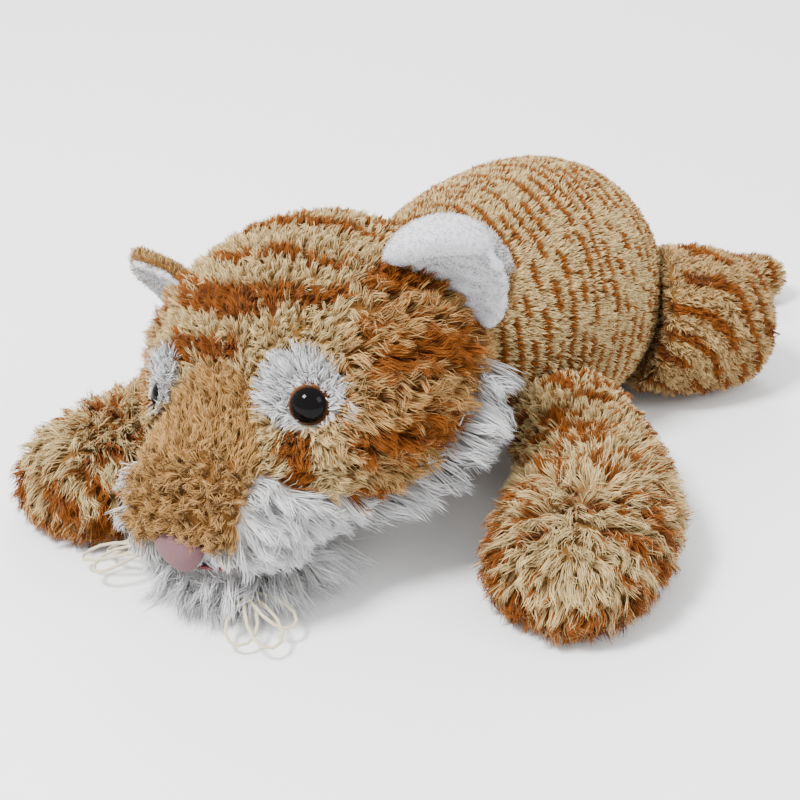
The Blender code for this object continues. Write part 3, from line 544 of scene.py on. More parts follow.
neck_nodes = ["neck_cover", "neck_stuffing"]
neck = skin("neck_plush", neck_nodes)
finish_skin(neck, "neck", "striped_plush", striped_plush, fill=0.5, nodes=neck_nodes,
            **neck_masks(points_of(neck.data)[0]))
roots, normals = roots_on(neck.data, spacing=0.0022, seed=41)
comb = np.tile(NECK_COMB, (len(roots), 1))
neck_fur = fur("neck_fur", roots, normals, comb, plain(roots, NECK_PILE), striped_plush, seed=42,
               width=0.001, **neck_masks(roots))
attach(neck_fur, "neck")


# Head. A broad stuffed skull of medium plush with a gathered muzzle. Bold rust bands
# cross the brow, the cheeks have rust patches and painted shade on their sides, and
# the muzzle is plain gold and curly at its tip.
HEAD_YAW = math.radians(2)
HEAD_TILT = math.radians(-14)
HEAD_NOD = math.radians(10)
SKULL_CENTRE = (0.0, -0.050, 0.026)


def joint_named(name):
    """The frame's joint of this name."""
    return next(joint for joint in frame["joints"] if joint["name"] == name)


neck_pivot = np.array(Vector(joint_named("head_nod")["pos_m"]))
head_turn = (Matrix.Rotation(HEAD_YAW, 3, "Z") @ Matrix.Rotation(HEAD_TILT, 3, "Y")
             @ Matrix.Rotation(HEAD_NOD, 3, "X"))
head_axes = np.array(head_turn)


def in_head(points):
    """Places in the head's own directions: its right is -X, its nose -Y and its crown +Z."""
    return (points - neck_pivot) @ head_axes


def to_world(vectors):
    """Ways in the head's own directions, as ways in the scene."""
    return vectors @ head_axes.T


# Each brow band has its angle over the skull and half its breadth in degrees, its right
# and left ends, and how dark it is. A cheek streak has its two ends and its half width.
BROW_BANDS = (
    (35, 6.0, -0.038, 0.016, 1.0),
    (54, 7.0, -0.070, 0.066, 1.0),
    (77, 4.4, -0.036, 0.056, 0.95),
    (100, 5.2, -0.050, 0.050, 0.95),
    (118, 4.6, -0.060, 0.060, 0.9),
    (134, 4.6, -0.060, 0.060, 0.9),
    (150, 4.8, -0.060, 0.060, 0.9),
)
BAND_REACH = 0.046
BAND_SWEEP = 9.0
BAND_LEAD = 5.5
BAND_WAVER = 2.5
BAND_END = 0.008
BAND_END_WAVER = 0.004
BAND_GAPS = (-1.5, -1.0)
BORDER_SHARES = (0.7, 1.2)
CHEEK_STREAKS = (
    ((0.060, -0.060, 0.069), (0.067, -0.042, 0.060), 0.0090),
    ((0.072, -0.088, 0.042), (0.079, -0.064, 0.040), 0.0085),
    ((0.079, -0.064, 0.038), (0.080, -0.046, 0.024), 0.0105),
    ((0.064, -0.110, 0.016), (0.0725, -0.094, 0.010), 0.0072),
    ((0.0725, -0.094, 0.010), (0.0775, -0.060, -0.006), 0.0080),
    ((0.053, -0.110, -0.012), (0.056, -0.088, -0.025), 0.0075),
    ((0.047, -0.128, 0.026), (0.0475, -0.138, 0.011), 0.0070),
    ((0.078, -0.030, 0.036), (0.077, -0.018, 0.022), 0.0090),
    ((0.057, -0.084, 0.064), (0.060, -0.078, 0.058), 0.0060),
)
STREAK_LEAD = np.array((0.0, -0.004, 0.002))
STREAK_WAVER = 0.0018
WHITE_JAW_ALONG = (0.080, 0.095, 0.110, 0.127, 0.135, 0.143, 0.149, 0.175)
WHITE_JAW_HEIGHT = (-0.036, -0.026, -0.013, -0.002, 0.003, 0.011, 0.023, 0.024)
BRIDGE_ALONG = (0.1135, 0.1165, 0.1195, 0.124, 0.148, 0.180)
BRIDGE_REACH = (0.0, 0.012, 0.018, 0.024, 0.035, 0.038)
BRIDGE_START = (0.1125, 0.1145)
BRIDGE_EDGE = 0.002
BRIDGE_WAVER = 0.001
FRINGE_HEIGHT = -0.003
FRINGE_SIDES = (0.031, 0.037)
JAW_START = (0.06, 0.075)
JAW_EDGE = 0.0015
# Where the painted shade on the sides of the cheeks lies, and the shares of rust and gold strands that
# paint it.
CHEEK_SIDES = (0.048, 0.066)
CHEEK_TOP = (0.060, 0.072)
CHEEK_SHADE_RUST = 0.36
CHEEK_SHADE_GOLD = 0.8
MUZZLE_START = (0.118, 0.14)
EYE_RING_CENTRE = (0.0405, -0.1130, 0.0415)
EYE_RING_RADIUS = 0.0180
EYE_RING_EDGES = (-0.0015, 0.001)
SMALL_WAVER = 0.0015


def head_masks(points):
    """The dyes of the head's plush with the painted shade on its cheeks, and how far a place belongs to
    the muzzle.
    """
    local = in_head(points)
    sideways = np.abs(local[:, 0])
    ahead = -local[:, 1]
    waver = ripple(points, size=0.035, seed=51)
    tilt = np.degrees(np.arctan2(local[:, 2] - SKULL_CENTRE[2], SKULL_CENTRE[1] - local[:, 1]))
    bands = plain(points)
    swept = tilt - BAND_SWEEP * (sideways / BAND_REACH) ** 4 + waver * BAND_WAVER
    inner, outer = BORDER_SHARES
    for angle, half, right_end, left_end, strength in BROW_BANDS:
        off = np.abs(swept - angle + BAND_LEAD)
        across = local[:, 0] + waver * BAND_END_WAVER
        ends = rise(across, right_end, right_end + BAND_END)
        ends = ends * (1 - rise(across, left_end - BAND_END, left_end))
        bands = np.maximum(bands, (1 - rise(off, half * inner, half * outer)) * ends * strength)
    bands *= rise(ripple(points, size=0.014, seed=52), *BAND_GAPS)
    folded = np.column_stack([sideways, local[:, 1:]])
    spots = plain(points)
    for start, end, size in CHEEK_STREAKS:
        run = np.array(end) - np.array(start)
        from_start = folded - np.array(start) - STREAK_LEAD
        share = np.clip(from_start @ run / (run @ run), 0, 1)
        far = np.linalg.norm(from_start - share[:, None] * run, axis=1)
        far = far + ripple(points, size=0.011, seed=53) * STREAK_WAVER
        spots = np.maximum(spots, 1 - rise(far, size * inner, size * outer))
    jaw = np.interp(ahead, WHITE_JAW_ALONG, WHITE_JAW_HEIGHT)
    edge = FRINGE_HEIGHT + (jaw - FRINGE_HEIGHT) * rise(sideways, *FRINGE_SIDES)
    white = 1 - rise(local[:, 2] + waver * SMALL_WAVER, edge - JAW_EDGE, edge + JAW_EDGE)
    white *= rise(ahead, *JAW_START)
    bridge = np.interp(ahead, BRIDGE_ALONG, BRIDGE_REACH)
    gold = 1 - rise(sideways + waver * BRIDGE_WAVER, bridge - BRIDGE_EDGE, bridge + BRIDGE_EDGE)
    gold = gold * rise(ahead, *BRIDGE_START)
    ring = np.linalg.norm(folded - np.array(EYE_RING_CENTRE), axis=1)
    ring_start, ring_end = (EYE_RING_RADIUS + beyond for beyond in EYE_RING_EDGES)
    ring = 1 - rise(ring + waver * SMALL_WAVER, ring_start, ring_end)
    white = np.maximum(white, ring * (1 - gold))
    gold *= 1 - white
    # Painted shade on the sides of the cheeks below the crown, put in as extra rust strands and gold wool.
    side = rise(sideways, *CHEEK_SIDES) * (1 - rise(local[:, 2], *CHEEK_TOP))
    stripe = np.maximum(np.maximum(bands, spots), side * CHEEK_SHADE_RUST) * (1 - white) * (1 - gold)
    gold = np.maximum(gold, CHEEK_SHADE_GOLD * side * (1 - white))
    return {"stripe": stripe, "gold": gold, "white": white}, rise(ahead, *MUZZLE_START)


NOSE_MIDDLE = np.array((0.0, -0.1776, -0.0055))
NOSE_REACH = np.array((0.0165, 0.014, 0.0095))
MOUTH_MIDDLE = np.array((0.002, -0.172, -0.013))
MOUTH_REACH = np.array((0.020, 0.02, 0.012))
EYE_CLEARING = 0.0125
FRINGE_SIDE = 0.028
FRINGE_RISE = (-0.004, 0.009)
FRINGE_AHEAD = 0.150
JAW_TOP = 0.024
BLOB_START = (0.146, 0.158)
CROWN_FAN = 3
CROWN_COMB = (0.5, -0.12)
MUZZLE_PARTING = np.array((0, -0.200, -0.004))
MUZZLE_COMB = np.array((0, 0.5, 0.3))
JAW_FAN = np.array((12, 0, 0))
JAW_COMB = np.array((0, 0.25, -1.0))
FRINGE_COMB = np.array((0, -0.3, -1.0))
CHEEK_COMB = np.array((0, 0.3, -0.35))
CHEEK_PILE_SIDES = (0.045, 0.065)
CROWN_CURL = 0.15
CHEEK_CURL = 0.25
BLOB_CURL = 1.2

head_nodes = ["head_cover", "muzzle_cover", "head_stuffing"]
head = skin("head_plush", head_nodes, voxel=0.0026, rounds=5)
masks, _ = head_masks(points_of(head.data)[0])
finish_skin(head, "head", "striped_plush", striped_plush, fill=0.75, nodes=head_nodes, **masks)


def curls_over(points, seed):
    """Small swirls in the comb of curly pile."""
    return np.column_stack([ripple(points, size=0.012, seed=seed + axis) for axis in range(3)])


roots, normals = roots_on(head.data, spacing=0.00083, seed=61)
local = in_head(roots)
kept = np.linalg.norm((local - NOSE_MIDDLE) / NOSE_REACH, axis=1) > 1
for side in ("left", "right"):
    eye_middle = sum(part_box(side + "_eye"), Vector()) / 2
    kept &= np.linalg.norm(roots - eye_middle, axis=1) > EYE_CLEARING
roots, normals, local = roots[kept], normals[kept], local[kept]
masks, muzzle = head_masks(roots)
sideways, ahead, height = np.abs(local[:, 0]), -local[:, 1], local[:, 2]
curls = curls_over(roots, seed=63)
front = muzzle > 0.5
fringe = front & (sideways < FRINGE_SIDE) & (ahead > FRINGE_AHEAD)
fringe &= (height > FRINGE_RISE[0]) & (height < FRINGE_RISE[1])
jaw = (masks["white"] > 0.5) & (height < JAW_TOP)
blob = rise(ahead, *BLOB_START)
comb = np.column_stack([local[:, 0] * CROWN_FAN, np.tile(CROWN_COMB, (len(local), 1))])
comb[front] = unit(local[front] - MUZZLE_PARTING) + MUZZLE_COMB
comb[jaw] = local[jaw] * JAW_FAN + JAW_COMB
comb[fringe] = FRINGE_COMB
cheek = rise(sideways, *CHEEK_PILE_SIDES) * ~front * ~jaw
comb += cheek[:, None] * CHEEK_COMB
curl_share = CROWN_CURL + cheek * CHEEK_CURL + front * ~jaw * blob * BLOB_CURL
comb = to_world(comb) + curls * curl_share[:, None]

# Pile: its length on the crown, what the cheeks, the bridge and the jaw add to that,
# what the round of the muzzle loses, and the share that is left of it at the mouth.
CROWN_PILE = 0.0078
CHEEK_MORE = 0.0055
BRIDGE_MORE = 0.0006
BLOB_LESS = 0.0014
JAW_MORE = 0.0078
MOUTH_PILE_SHARE = 0.35
MOUTH_CLEARING = (0.8, 1.4)
CHEEK_GROUP_SHARE = 0.3

length = CROWN_PILE + cheek * CHEEK_MORE + front * BRIDGE_MORE - front * blob * BLOB_LESS + jaw * JAW_MORE
near_mouth = np.linalg.norm((local - MOUTH_MIDDLE) / MOUTH_REACH, axis=1)
length *= MOUTH_PILE_SHARE + (1 - MOUTH_PILE_SHARE) * rise(near_mouth, *MOUTH_CLEARING)

# Each stretch of the head's pile, with where it grows, its lean, how many strands meet
# in a lock, its curl and its slot.
HEAD_GROUPS = {
    "bridge_fur": (front & ~jaw & (blob < 0.5), 0.58, 6, 0.05, "golden_plush"),
    "blob_fur": (front & ~jaw & (blob >= 0.5), 0.25, 12, 0.28, "golden_plush"),
    "jaw_fur": (jaw, 0.62, 24, 0.06, "white_plush"),
    "cheek_fur": (~front & ~jaw & (cheek > CHEEK_GROUP_SHARE), 0.50, 20, 0.08, "striped_plush"),
    "crown_fur": (~front & ~jaw & (cheek <= CHEEK_GROUP_SHARE), 0.50, 9, 0.06, "striped_plush"),
}
for name, (chosen, lean, per_lock, curl, slot) in HEAD_GROUPS.items():
    dyes_and_shade = {mask: values[chosen] for mask, values in masks.items()}
    piece = fur(name, roots[chosen], normals[chosen], comb[chosen], length[chosen], striped_plush, seed=66,
                width=0.00046, lean=lean, mess=0.3, per_lock=per_lock, gather=0.85, curl=curl, droop=0.08,
                **dyes_and_shade)
    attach(piece, "head")


# Chin. A small stuffed ball of long white plush, sewn on under the muzzle. Its pile
# hangs down in points.
CHIN_TOP = -0.012
CHIN_DEPTH = (0.004, 0.020)
CHIN_PILE = 0.012
CHIN_POINTS = 0.026
CHIN_SPREAD = np.array((0.8, 0.8, 0.5))
CHIN_COMB = np.array((0.40, -0.2, -0.8))


def white_masks(points):
    """Plain white plush."""
    return {"stripe": plain(points), "gold": plain(points), "white": plain(points, 1.0)}


chin = skin("chin_plush", ["chin"], voxel=0.0022, rounds=4)
points = points_of(chin.data)[0]
finish_skin(chin, "head", "white_plush", striped_plush, fill=0.7, nodes=["chin"], **white_masks(points))
roots, normals = roots_on(chin.data, spacing=0.0011, seed=71)
comb = unit(roots - points.mean(axis=0)) * CHIN_SPREAD + CHIN_COMB
low = CHIN_TOP - in_head(roots)[:, 2]
length = CHIN_PILE + CHIN_POINTS * rise(low, *CHIN_DEPTH)
chin_fur = fur("chin_fur", roots, normals, comb, length, striped_plush, seed=72, lean=0.65,
               mess=0.3, per_lock=24, gather=0.88, curl=0.06, droop=0.3, **white_masks(roots))
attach(chin_fur, "head")


# Cheek ruffs. A thin roll of long white pile sewn along each side of the jaw, combed
# outwards and a little down, so that it stands out as a fringe.
RUFF_PILE = 0.021
RUFF_COMBS = {"left": (0.8, 0.35, -0.3), "right": (-0.8, 0.35, -0.3)}

for side, ruff_comb in RUFF_COMBS.items():
    node = side + "_cheek_ruff"
    ruff = skin(side + "_ruff_plush", [node], voxel=0.002, rounds=4)
    finish_skin(ruff, "head", "white_plush", striped_plush, fill=0.7, nodes=[node],
                **white_masks(points_of(ruff.data)[0]))
    roots, normals = roots_on(ruff.data, spacing=0.0011, seed=81)
    comb = np.tile(ruff_comb, (len(roots), 1))
    piece = fur(side + "_ruff_fur", roots, normals, comb, plain(roots, RUFF_PILE), striped_plush, seed=82,
                lean=0.6, mess=0.25, per_lock=20, gather=0.88, curl=0.05, droop=0.1, **white_masks(roots))
    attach(piece, "head")


# Eye patches and eyes. White plush round each eye, and a domed plastic eye pushed
# through it, nearly black with a brown rim, held by a washer inside. The far eye is
# pressed deeper into its pile.
EYE_SINK = {"left": 0.0, "right": 0.003}
EYE_GLOSS = 0.09
PUPIL_COLOUR = (0.002, 0.0015, 0.0015, 1)
RIM_COLOUR = (0.12, 0.042, 0.010, 1)
RIM_START = (0.55, 0.80)
WASHER_COLOUR = (0.6, 0.6, 0.58, 1)
PATCH_FACING = 0.1
PATCH_PILE = 0.0026
PATCH_MORE = 0.0050
PATCH_REACH = (0.009, 0.017)

washer_finish, _, shader = new_material("washer_plastic", roughness=0.45)
shader.inputs["Base Color"].default_value = WASHER_COLOUR
eye_finish, wire, shader = new_material("eye_plastic", roughness=0.04)
shader.inputs["Specular IOR Level"].default_value = EYE_GLOSS
place = wire.node("ShaderNodeUVMap", {}, uv_map="dome")
dome = wire.node("ShaderNodeSeparateXYZ", {0: place}, output=1)
feed(dome.between(*RIM_START).choose(PUPIL_COLOUR, RIM_COLOUR), shader, "Base Color")


def eye_aim(side):
    """The way an eye looks, which is from its washer's middle to its own."""
    middles = []
    for node in (side + "_eye_washer", side + "_eye"):
        points = np.array([v.co for v in frame["nodes"][node].data.vertices])
        middles.append(np.unique(points.round(6), axis=0).mean(axis=0))
    return Vector(middles[1] - middles[0]).normalized()


def repaint(node, finish):
    """Gives a CAD node that is shown as it is a finish of its own."""
    mesh = frame["nodes"][node].data
    mesh.materials.clear()
    mesh.materials.append(finish)


for side, sink in EYE_SINK.items():
    node = side + "_eye_patch"
    aim = eye_aim(side)
    patch = frame["nodes"][node].data
    roots, normals = roots_on(patch, spacing=0.0009, seed=91)
    kept = normals @ np.array(aim) > PATCH_FACING
    roots, normals = roots[kept], normals[kept]
    low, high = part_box(side + "_eye")
    centre = (low + high) / 2
    comb = roots - np.array(centre)
    far = np.linalg.norm(comb, axis=1)
    length = PATCH_PILE + PATCH_MORE * rise(far, *PATCH_REACH)
    masks, _ = head_masks(roots)
    piece = fur(side + "_eye_patch_fur", roots, normals, comb, length, striped_plush, seed=92,
                lean=0.62, mess=0.25, per_lock=10, gather=0.7, curl=0.05, **masks)
    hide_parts(node)
    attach(piece, "head")
    bm = bmesh.new()
    bmesh.ops.create_uvsphere(bm, u_segments=40, v_segments=24, radius=1)
    uv_layer = bm.loops.layers.uv.new("dome")
    for face in bm.faces:
        for loop in face.loops:
            from_top = math.acos(max(-1, min(1, loop.vert.co.z)))
            loop[uv_layer].uv = (0.5, from_top / (math.pi / 2))
    turn = aim.to_track_quat("Z", "Y").to_matrix().to_4x4()
    eye_points = np.array([v.co for v in frame["nodes"][side + "_eye"].data.vertices])
    along = (eye_points - np.array(centre)) @ np.array(aim)
    square = eye_points - np.array(centre) - along[:, None] * np.array(aim)
    radius = float(np.linalg.norm(square, axis=1).max())
    deep = float(along.max() - along.min()) / 2
    middle = centre + aim * (float(along.max() + along.min()) / 2 - sink)
    size = Matrix.Diagonal((radius, radius, deep, 1))
    bmesh.ops.transform(bm, matrix=Matrix.Translation(middle) @ turn @ size, verts=bm.verts)
    mesh = bpy.data.meshes.new(side + "_eye_dome")
    bm.to_mesh(mesh)
    bm.free()
    mesh.shade_smooth()
    eye = new_piece(side + "_eye_dome", mesh, eye_finish)
    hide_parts(side + "_eye")
    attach(eye, "head")
    repaint(side + "_eye_washer", washer_finish)


# Nose and mouth. A padded nose of pink velour sewn under the muzzle's fringe, broad
# above and pointed below, and a line of dark pink thread below it.
NOSE_SWELL = 0.0006
NOSE_POINT = 0.45
NOSE_BREADTH = 1.65
NOSE_DROP = 1.3
NOSE_DARK = (0.085, 0.036, 0.040, 1)
NOSE_LIGHT = (0.155, 0.071, 0.077, 1)
MOUTH_DARK = (0.16, 0.030, 0.040, 1)
MOUTH_LIGHT = (0.26, 0.060, 0.075, 1)
NAP_HEIGHT = 0.0004


def mottled(name, roughness, scale, detail, dark, light, bump=0.0, **constants):
    """A finish of fine uneven nap or yarn in two shades, raised a little where bump is set."""
    material, wire, shader = new_material(name, roughness, **constants)
    place = wire.node("ShaderNodeTexCoord", {}, output=3)
    nap = wire.node("ShaderNodeTexNoise", {"Vector": place, "Scale": scale, "Detail": detail})
    feed(nap.choose(dark, light), shader, "Base Color")
    if bump:
        raised = {"Height": nap, "Strength": bump, "Distance": NAP_HEIGHT}
        feed(wire.node("ShaderNodeBump", raised), shader, "Normal")
    return material


nose_finish = mottled("nose_velour", 0.9, 1400.0, 3.0, NOSE_DARK, NOSE_LIGHT, bump=0.35, Sheen_Weight=0.05)
nose = joined("nose_velour", ["nose"])
mesh = nose.data
mesh.shade_smooth()
points, normals, _ = points_of(mesh)
local = in_head(points + normals * NOSE_SWELL)
low, high = local[:, 2].min(), local[:, 2].max()
share = (local[:, 2] - low) / (high - low)
local[:, 0] *= NOSE_POINT + (NOSE_BREADTH - NOSE_POINT) * share
local[:, 2] = high - (high - local[:, 2]) * NOSE_DROP
mesh.vertices.foreach_set("co", (to_world(local) + neck_pivot).ravel())
mesh.materials.append(nose_finish)
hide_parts("nose")
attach(nose, "head")

repaint("mouth_stitch", mottled("mouth_thread", 0.7, 2500.0, 2.0, MOUTH_DARK, MOUTH_LIGHT))


# Whiskers. A bunch of pale woollen yarn on each side of the muzzle, laid in loops and
# knotted through the chin.
YARN_DARK = (0.45, 0.38, 0.24, 1)
YARN_LIGHT = (0.62, 0.56, 0.41, 1)

whisker_finish = mottled("whisker_yarn", 0.75, 1800.0, 2.0, YARN_DARK, YARN_LIGHT)
for side in ("left", "right"):
    repaint(side + "_whiskers", whisker_finish)


# Ears. Each is a plush back and a white velour lining, sewn round the rim and turned
# out, with the lining in front. The near ear's top is rolled forwards over itself, and
# the far ear is the smaller one.
VELOUR_SWELL = 0.0010
VELOUR_GLOSS = 0.08
VELOUR_DARK = (0.46, 0.46, 0.49, 1)
VELOUR_LIGHT = (0.66, 0.66, 0.70, 1)
VELOUR_PILE = 0.0014
# How much of the painted root shade the lining's short nap loses.
VELOUR_ROOT_SHADE_LIFT = 0.7
EAR_PILE = 0.0042
EAR_COMB = (0.0, 0.1, 1.0)
EAR_GOLD = 0.5
EAR_LEAN = math.radians(31)
EAR_HALF_WIDTH = 0.026
EAR_REACH = 0.040
EAR_ROLL = 0.72
EAR_ROLL_EDGE = 0.1
RIGHT_EAR_SHARE = 0.82
LUMP_SHARE = 0.5
LOBE_RISE = 0.003
LOBE_MIDDLE = (0.35, 0.45)
LOBE_SPREAD = (0.45, 0.5)
FOLD_RADIUS = 0.0095
FOLD_FORWARD = 0.011
FOLD_PATH = ((-0.031, 0.011), (-0.018, 0.050), (0.011, 0.041))

velour_finish, wire, shader = new_material("white_velour", roughness=0.92, Sheen_Weight=0.15)
shader.inputs["Specular IOR Level"].default_value = VELOUR_GLOSS
place = wire.node("ShaderNodeTexCoord", {}, output=3)
nap = wire.node("ShaderNodeTexNoise", {"Vector": place, "Scale": 1500.0, "Detail": 3.0})
brushed = wire.node("ShaderNodeTexNoise", {"Vector": place, "Scale": 90.0, "Detail": 2.0})
shade = nap * 0.5 + brushed * 0.5
feed(shade.choose(VELOUR_DARK, VELOUR_LIGHT), shader, "Base Color")
raised = {"Height": nap, "Strength": 0.5, "Distance": NAP_HEIGHT}
feed(wire.node("ShaderNodeBump", raised), shader, "Normal")


def ear_axes(side):
    """The hinge of an ear, and the ways across it from the crown, up it and out of its front."""
    hinge = joint_named(side + "_ear_fold")
    axis = np.array(hinge["axis"])
    place = np.array(hinge["pos_m"])
    low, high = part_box(side + "_ear_lining")
    up = (np.array(low) + np.array(high)) / 2 - place
    up = up - axis * (up @ axis)
    up /= np.linalg.norm(up)
    forward = np.cross(axis, up)
    lean = np.array((math.cos(EAR_LEAN), math.sin(EAR_LEAN)))
    return place, axis, up * lean[0] - forward * lean[1], forward * lean[0] + up * lean[1]


def ear_masks(points, side, is_lining):
    """White on the lining, and where the near ear's lining rolls over its rim."""
    hinge, _, up, _ = ear_axes(side)
    rim = rise((points - hinge) @ up / EAR_REACH, EAR_ROLL, EAR_ROLL + EAR_ROLL_EDGE)
    white = plain(points, 1.0) if is_lining else rim * (side == "left")
    return {"stripe": plain(points), "gold": plain(points, EAR_GOLD), "white": white}


def ear_pile(name, mesh, side, is_lining):
    """The short nap of the lining, or the plush of the ear's back."""
    roots, normals = roots_on(mesh, spacing=0.0009, seed=101)
    comb = np.tile(EAR_COMB, (len(roots), 1))
    length = plain(roots, VELOUR_PILE if is_lining else EAR_PILE)
    piece = fur(name, roots, normals, comb, length, striped_plush, seed=102,
                width=0.0004, lean=0.5, mess=0.3, per_lock=8, gather=0.4,
                root_shade_lift=VELOUR_ROOT_SHADE_LIFT if is_lining else 0.0, **ear_masks(roots, side, is_lining))
    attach(piece, side + "_ear")


for side in ("left", "right"):
    for half in ("back", "lining"):
        node = side + "_ear_" + half
        is_lining = half == "lining"
        cloth = joined(node + "_cloth", [node])
        rounded = cloth.modifiers.new("rounded", "SUBSURF")
        rounded.levels = 2 if is_lining else 1
        rounded.render_levels = rounded.levels
        mesh = applied(cloth)
        mesh.name = node + "_cloth"
        cloth.data = mesh
        mesh.shade_smooth()
        points, normals, _ = points_of(mesh)
        lumps = 1 + LUMP_SHARE * ripple(points, size=0.009, seed=104)
        swell = normals * (VELOUR_SWELL * lumps)[:, None]
        hinge, across, up, forward = ear_axes(side)
        if is_lining:
            beside = ((points - hinge) @ across / EAR_HALF_WIDTH - LOBE_MIDDLE[0]) / LOBE_SPREAD[0]
            above = ((points - hinge) @ up / EAR_REACH - LOBE_MIDDLE[1]) / LOBE_SPREAD[1]
            swell += LOBE_RISE * np.exp(-beside ** 2 - above ** 2)[:, None] * forward
        if side == "right":
            points = hinge + (points - hinge) * RIGHT_EAR_SHARE
        mesh.vertices.foreach_set("co", (points + swell).ravel())
        finish_skin(cloth, side + "_ear", "white_velour" if is_lining else "golden_plush",
                    velour_finish if is_lining else striped_plush, fill=0.3, nodes=[node],
                    **ear_masks(points, side, is_lining))
        ear_pile(node + "_pile", mesh, side, is_lining)

# The near ear's roll is a soft tube that swells and tapers along a bent path.
hinge, across, up, forward = ear_axes("left")
path = [hinge + across * x + up * z + forward * FOLD_FORWARD for x, z in FOLD_PATH]
bm = bmesh.new()
bmesh.ops.create_uvsphere(bm, u_segments=32, v_segments=32, radius=1)
for vert in bm.verts:
    share = (vert.co.z + 1) / 2
    middle = path[0] * (1 - share) ** 2 + path[1] * 2 * share * (1 - share) + path[2] * share ** 2
    along = path[0] * (share - 1) + path[1] * (1 - 2 * share) + path[2] * share
    out = np.cross(along, forward)
    out /= np.linalg.norm(out)
    vert.co = middle + (forward * vert.co.y + out * vert.co.x) * FOLD_RADIUS
bmesh.ops.recalc_face_normals(bm, faces=bm.faces)
fold_mesh = bpy.data.meshes.new("left_ear_fold")
bm.to_mesh(fold_mesh)
bm.free()
fold_mesh.shade_smooth()
fold = new_piece("left_ear_fold", fold_mesh, velour_finish)
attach(fold, "left_ear")
ear_pile("left_ear_fold_pile", fold_mesh, "left", is_lining=True)


# Legs. Four floppy plush bags with bean pellets in the feet, sewn on at the shoulders
# and hips. The front ones lie sprawled, their long pile combed outwards from a pale top,
# and the hind ones have short curly pile with curved stripes.
LEG_NAMES = ("left_front_leg", "right_front_leg", "left_hind_leg", "right_hind_leg")
LEG_SEEDS = {"left": 111, "right": 131}
FOOT_SHARE = 0.97
PAW_SHARE = 0.90
FRONT_PITCH = 0.0128
ZIGZAG = 0.0022
HAUNCH_AHEAD = 0.008
HAUNCH_HEIGHT = 0.018
HIND_SLANT = (0.55, 0.83)
SOLE_DARK = (-0.036, -0.012)
SOLE_START = (0.05, 0.09)
SOLE_RUST = 0.75
PALE_REACH = (0.008, 0.022)
PALE_SHARE = 0.9
LEG_GOLD = (-0.030, -0.008)
LEG_GOLD_SHARE = 0.8
HIND_GOLD = 0.45
LEG_BARE_FACING = -0.8
LEG_BARE_HEIGHT = 0.003
COMB_REACH = 0.055
FRONT_DOWN = np.array((0, 0, -0.5))
FRONT_ALONG = 0.5
FRONT_CURL = 0.25
HIND_DOWN = np.array((0, 0, -0.3))
HIND_CURL = 0.8
FRONT_PILE = 0.0060
FRONT_PILE_MORE = 0.0065
FRONT_PILE_START = (0.045, 0.085)
HIND_PILE = 0.0048


def leg_way(node, pivot):
    """The level way from a leg's joint to its foot, and how far the foot is."""
    points = np.array([v.co for v in frame["nodes"][node].data.vertices])
    flat = points[:, :2] - np.array(pivot[:2])
    far = np.linalg.norm(flat, axis=1)
    tip = flat[far > np.quantile(far, FOOT_SHARE)].mean(axis=0)
    return np.append(tip / np.linalg.norm(tip), 0.0), float(np.linalg.norm(tip))


def leg_masks(points, pivot, heading, paw, front, side):
    """Stripes across a front leg, round the left haunch and down the right one."""
    seed = LEG_SEEDS[side]
    ahead = (points - pivot) @ heading
    zigzag = ZIGZAG * ripple(points, size=0.012, seed=seed + 5)
    if not front and side == "left":
        from_haunch = points - pivot - heading * HAUNCH_AHEAD - np.array((0, 0, HAUNCH_HEIGHT))
        ahead = np.linalg.norm(from_haunch, axis=1)
    elif not front:
        ahead = (points - pivot) @ (heading * HIND_SLANT[0] - np.array((0, 0, HIND_SLANT[1])))
    pitch, thin = (FRONT_PITCH, -0.2) if front else (STRIPE_PITCH, 0.1)
    stripe = stripes_round(points, ahead + zigzag * front, seed, pitch=pitch, broken=0.0, thin=thin)
    edge = rise(-points[:, 2], *SOLE_DARK) * rise(ahead, *SOLE_START) * front
    pale = 1 - rise(np.linalg.norm((points - paw)[:, :2], axis=1), *PALE_REACH)
    stripe = np.maximum(stripe * (1 - pale * PALE_SHARE * front), edge * SOLE_RUST)
    gold = np.maximum(rise(-points[:, 2], *LEG_GOLD) * LEG_GOLD_SHARE, 0.0 if front else HIND_GOLD)
    return {"stripe": stripe, "gold": gold, "white": plain(points)}


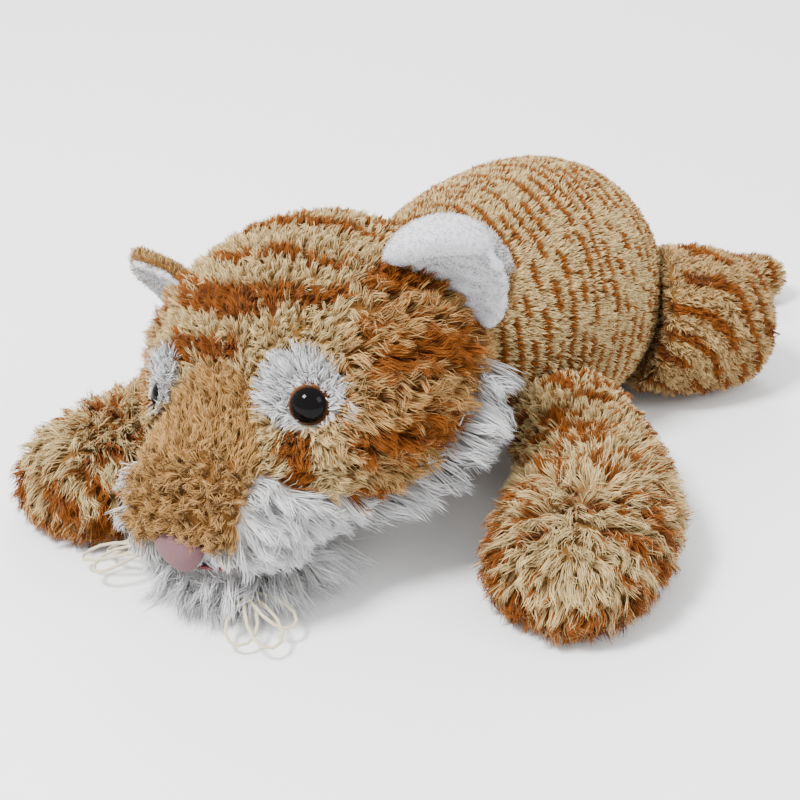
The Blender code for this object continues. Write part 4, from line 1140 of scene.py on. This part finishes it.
for name in LEG_NAMES:
    nodes = [name + "_cover", name + "_pellets"]
    leg = skin(name + "_plush", nodes)
    pivot = np.array(joint_named(name + "_swing")["pos_m"])
    heading, reach = leg_way(nodes[0], pivot)
    front = "front" in name
    paw = pivot + heading * reach * PAW_SHARE
    look = (pivot, heading, paw, front, name.split("_")[0])
    finish_skin(leg, name, "striped_plush", striped_plush, fill=0.45, nodes=nodes,
                **leg_masks(points_of(leg.data)[0], *look))
    roots, normals = roots_on(leg.data, spacing=0.00092, seed=121)
    kept = (normals[:, 2] > LEG_BARE_FACING) & (roots[:, 2] > LEG_BARE_HEIGHT)
    roots, normals = roots[kept], normals[kept]
    curls = curls_over(roots, seed=123)
    if front:
        outward = (roots - paw) * np.array((1, 1, 0))
        comb = outward / COMB_REACH + heading * FRONT_ALONG + FRONT_DOWN + curls * FRONT_CURL
        length = FRONT_PILE + FRONT_PILE_MORE * rise((roots - pivot) @ heading, *FRONT_PILE_START)
        pile = {"lean": 0.62, "per_lock": 14, "gather": 0.8, "curl": 0.06, "root_shade_lift": 0.1}
    else:
        comb = heading + HIND_DOWN + curls * HIND_CURL
        length = plain(roots, HIND_PILE)
        pile = {"lean": 0.45, "per_lock": 7, "gather": 0.65, "curl": 0.16, "root_shade_lift": 0.25}
    piece = fur(name + "_fur", roots, normals, comb, length, striped_plush, seed=126,
                width=0.0005, mess=0.28, droop=0.1, **pile, **leg_masks(roots, *look))
    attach(piece, name)


# Tail. A slim stuffed roll of the same plush, sewn on at the rump and lying in a loose
# bend, with broad bands round it.
TAIL_HEIGHT = 0.018
TAIL_PILE = 0.0048
TAIL_PITCH = 0.016
TAIL_GOLD = 0.2

tail_root = np.array(joint_named("tail_swing")["pos_m"]) + np.array((0, 0, TAIL_HEIGHT))


def tail_masks(points):
    """Bands at even steps from the tail's root."""
    ahead = np.linalg.norm(points - tail_root, axis=1)
    stripe = stripes_round(points, ahead, seed=141, pitch=TAIL_PITCH, broken=-0.2)
    return {"stripe": stripe, "gold": plain(points, TAIL_GOLD), "white": plain(points)}


tail_nodes = ["tail_cover", "tail_stuffing"]
tail = skin("tail_plush", tail_nodes, voxel=0.002)
finish_skin(tail, "tail", "striped_plush", striped_plush, fill=0.5, nodes=tail_nodes,
            **tail_masks(points_of(tail.data)[0]))
roots, normals = roots_on(tail.data, spacing=0.0011, seed=151)
comb = roots - tail_root
tail_fur = fur("tail_fur", roots, normals, comb, plain(roots, TAIL_PILE), striped_plush, seed=152,
               lean=0.5, mess=0.25, per_lock=7, gather=0.65, curl=0.12, **tail_masks(roots))
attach(tail_fur, "tail")
